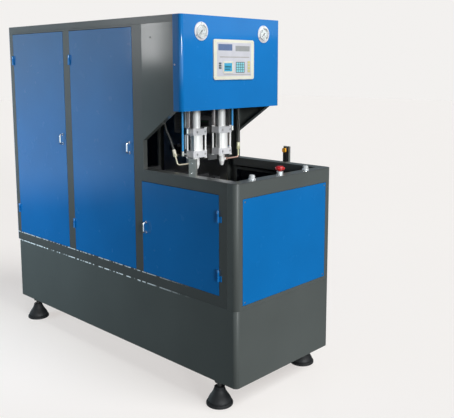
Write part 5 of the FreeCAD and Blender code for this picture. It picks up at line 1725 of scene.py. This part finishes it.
@dataclass
class Feet(SubAssembly):
    """Four levelling feet: rubber bell pads on threaded stems with lock nuts."""

    dressing: ClassVar[Dressing] = (("foot_pads", RUBBER, 0.0), ("foot_stems", DARK_METAL, 0.0))
    foot_x: float = 0.345
    foot_y: float = 0.890
    crest_radius: float = 0.0127
    thread_depth: float = 0.0007
    pitch: float = 0.0025
    thread_span: Span = (0.0985, 0.1215)
    rib: tuple[Span, ...] = ((0.0660, 0.0160), (0.0665, 0.0163), (0.0665, 0.0176), (0.0655, 0.0184),
                             (0.0640, 0.0176), (0.0640, 0.0160), (0.0660, 0.0160))
    bell: tuple[Span, ...] = ((0.0282, 0.0155), (0.0620, 0.0155), (0.0628, 0.0200), (0.0610, 0.0290),
                              (0.0530, 0.0440), (0.0410, 0.0610), (0.0330, 0.0760), (0.0305, 0.0840),
                              (0.0290, 0.0855), (0.0282, 0.0850), (0.0282, 0.0155))

    def add_pieces(self) -> None:
        """The threads that show, and on each pad a moulded rib and the bell from its neck to its disc."""
        places = shifted(product((-self.foot_x, self.foot_x), (-self.foot_y, self.foot_y), (0,)))
        low, high = ((0, 0, level) for level in self.thread_span)
        ridge = thread(self.crest_radius, self.thread_depth, self.pitch, low, high)
        group("stem_threads", ridge, places).fit(DARK_METAL, "zinc_steel")
        for name, profile in (("pad_ribs", self.rib), ("pad_bells", self.bell)):
            group(name, Blank.turned("pad", profile, steps=48), places).fit(RUBBER, "black_rubber")


@dataclass
class Clamp(SubAssembly):
    """The mould clamp: platens on tie bars, closed by an air cylinder."""

    dressing: ClassVar[Dressing] = (
        ("end_platens", CAST, SHEET), ("tie_bars", CHROME_BAR, 0.0), ("clamp_cylinder", CAST, SHEET),
        ("moving_platen", CAST, SHEET), ("clamp_rod", CHROME_BAR, 0.0),
    )
    bar_x: float = 0.225
    bar_levels: Span = (0.595, 1.005)
    platen_face: float = -0.183
    cap_face: float = 0.663
    nut_offset: float = 0.100
    cylinder_z: float = 0.800
    union_places: tuple[Point, ...] = ((0.055, 0.360, 0.920), (0.055, 0.638, 0.920))

    def add_pieces(self) -> None:
        """Bronze bushes on the moving platen, tie-rod nuts and air unions on the clamp cylinder."""
        bush = Blank.turned("bush", [(0.0204, 0), (0.0300, 0), (0.0300, 0.004), (0.0285, 0.006),
                                     (0.0215, 0.006), (0.0204, 0.005), (0.0204, 0)], steps=36)
        places = product((-self.bar_x, self.bar_x), (self.platen_face,), self.bar_levels)
        group("platen_bushes", bush, all_facing(places, FRONT)).fit(BRASS, "brass_fitting", "moving_platen")
        levels = (self.cylinder_z - self.nut_offset, self.cylinder_z + self.nut_offset)
        places = product((-self.nut_offset, self.nut_offset), (self.cap_face,), levels)
        group("clamp_tie_nuts", hexagon_head(0.027, 0.014), all_facing(places, REAR)).fit(ZINC, "zinc_steel")
        neck = Blank.turned("neck", [(0, 0.010), (0.0085, 0.010), (0.0085, 0.018), (0.0078, 0.020),
                                     (0, 0.020)])
        union = united("union", [hexagon_head(0.022, 0.010), neck])
        group("clamp_air_unions", union, all_facing(self.union_places, UP)).fit(BRASS, "brass_fitting")


@dataclass
class CabinetInterior(SubAssembly):
    """Controls and air services inside the cabinet."""

    dressing: ClassVar[Dressing] = (
        ("mounting_plate", ZINC, 0.0), ("control_units", UNIT_GREY, SHEET), ("air_receiver", TANK, 0.0),
        ("valve_manifold", ANODISED, SHEET), ("filter_regulator", ANODISED, 0.0),
    )
    contactor_x: float = 0.267
    contactor_ys: tuple[float, ...] = (-0.1675, -0.1055, -0.0435, 0.0185, 0.0805)
    contactor_z: float = 1.185
    contactor_screw_levels: Span = (1.153, 1.217)
    terminal_x: float = 0.310
    terminal_start: float = -0.204
    terminal_pitch: float = 0.0125
    terminals: int = 38
    terminal_levels: Span = (1.005, 0.825)
    controller_x: float = 0.2785
    vents_place: Point = (0.260, 0.075, 1.325)
    valve_xs: tuple[float, ...] = (-0.305, -0.271, -0.237, -0.203, -0.169, -0.135)
    valve_y: float = -0.221
    plug_z: float = 1.626
    knob_radius: float = 0.0185
    regulator_rear: float = 1.043
    knob_depth: float = 0.026

    def add_pieces(self) -> None:
        """Terminals, fronts, lamps, vents, connectors and the ribs of the regulator's knob."""
        self.contactors()
        self.terminal_rows()
        self.controller()
        plug = Blank.block("plug", (-0.010, -0.010, -0.012), (0.010, 0.010, 0.0))
        plug.rounded(0.003, 3, Axis.Z).rounded(0.0012)
        places = shifted((x, self.valve_y, self.plug_z) for x in self.valve_xs)
        group("valve_connectors", plug, places).fit(BLACK_PLASTIC, "black_plastic")
        low, high = box_of("filter_regulator")
        place = ((low.x + high.x) / 2, (low.y + self.regulator_rear) / 2, high.z - self.knob_depth)
        edge = self.knob_radius
        rib = Blank.block("rib", (edge - 0.001, -0.0009, 0), (edge + 0.0006, 0.0009, 0.020))
        turns = round_about(place, 28)
        group("regulator_knob_ribs", rib.rounded(0.0003, 1), turns).fit(BLACK_PLASTIC, "black_plastic")

    def contactors(self) -> None:
        """Terminal screws and the moulded front of each contactor."""
        places = [(self.contactor_x, y + offset, z) for y, offset, z in product(
            self.contactor_ys, (-0.014, 0.0, 0.014), self.contactor_screw_levels)]
        screws = group("contactor_screws", PAN_HEAD.screw(0.0032, 0.0014), all_facing(places, LEFT))
        screws.fit(ZINC, "zinc_steel")
        front = Blank.block("front", (-0.005, -0.016, -0.022), (0, 0.016, 0.022))
        front.rounded(0.003, 3, Axis.X).inset(looking(LEFT), 0.007, -0.002)
        places = shifted(product((self.contactor_x,), self.contactor_ys, (self.contactor_z,)))
        group("contactor_fronts", front, places).fit(BLACK_PLASTIC, "black_plastic")

    def terminal_rows(self) -> None:
        """Rows of terminals with two clamp screws each."""
        ys = [self.terminal_start + self.terminal_pitch * number for number in range(self.terminals)]
        block = Blank.block("terminal", (-0.0012, -0.0055, -0.0245), (0, 0.0055, 0.0245))
        block.inset(looking(LEFT), 0.0018, -0.0006)
        places = shifted(product((self.terminal_x,), ys, self.terminal_levels))
        group("terminal_faces", block, places).fit(UNIT_GREY, "unit_plastic")
        head = Blank.turned("head", [(0, 0), (0.0026, 0), (0.0026, 0.0008), (0, 0.0010)], steps=8)
        levels = [level + offset for level in self.terminal_levels for offset in (-0.016, 0.016)]
        places = all_facing(product((self.terminal_x - 0.0008,), ys, levels), LEFT)
        group("terminal_screws", head, places).fit(ZINC, "zinc_steel")

    def controller(self) -> None:
        """Cover and lamps of the programmable controller, and the supply's vents."""
        face = self.controller_x
        cover = Blank.block("controller_cover", (face, -0.185, 1.335), (face + 0.0015, -0.015, 1.395))
        cover.rounded(0.004, 3, Axis.X).rounded(0.0004, 1).fit(BLACK_PLASTIC, "black_plastic")
        lamp = Blank.turned("lamp", [(0, 0), (0.002, 0), (0.0017, 0.0009), (0, 0.0013)], steps=12)
        places = [(face, -0.170 + 0.010 * number, 1.385) for number in range(8)]
        group("controller_lamps", lamp, all_facing(places, LEFT)).fit(LAMP_GREEN, "green_plastic")
        vent = Blank.block("vent", (-0.0008, -0.030, -0.0016), (0, 0.030, 0.0016)).rounded(0.0003, 1)
        x, y, z = self.vents_place
        places = shifted((x, y, z + 0.010 * number) for number in range(9))
        group("supply_vents", vent, places).fit(BLACK_PLASTIC, "black_plastic")


def main() -> None:
    """Build the machine's looks."""
    logging.basicConfig(level=logging.INFO, format="%(message)s")
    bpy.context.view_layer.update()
    Studio().build()
    for part in (Cabinet(), Doors(), Head(), SealingStation(), ControlRow(), BeamSensors(), Feet(), Clamp(),
                 CabinetInterior()):
        part.build()


if __name__ == "__main__":
    main()
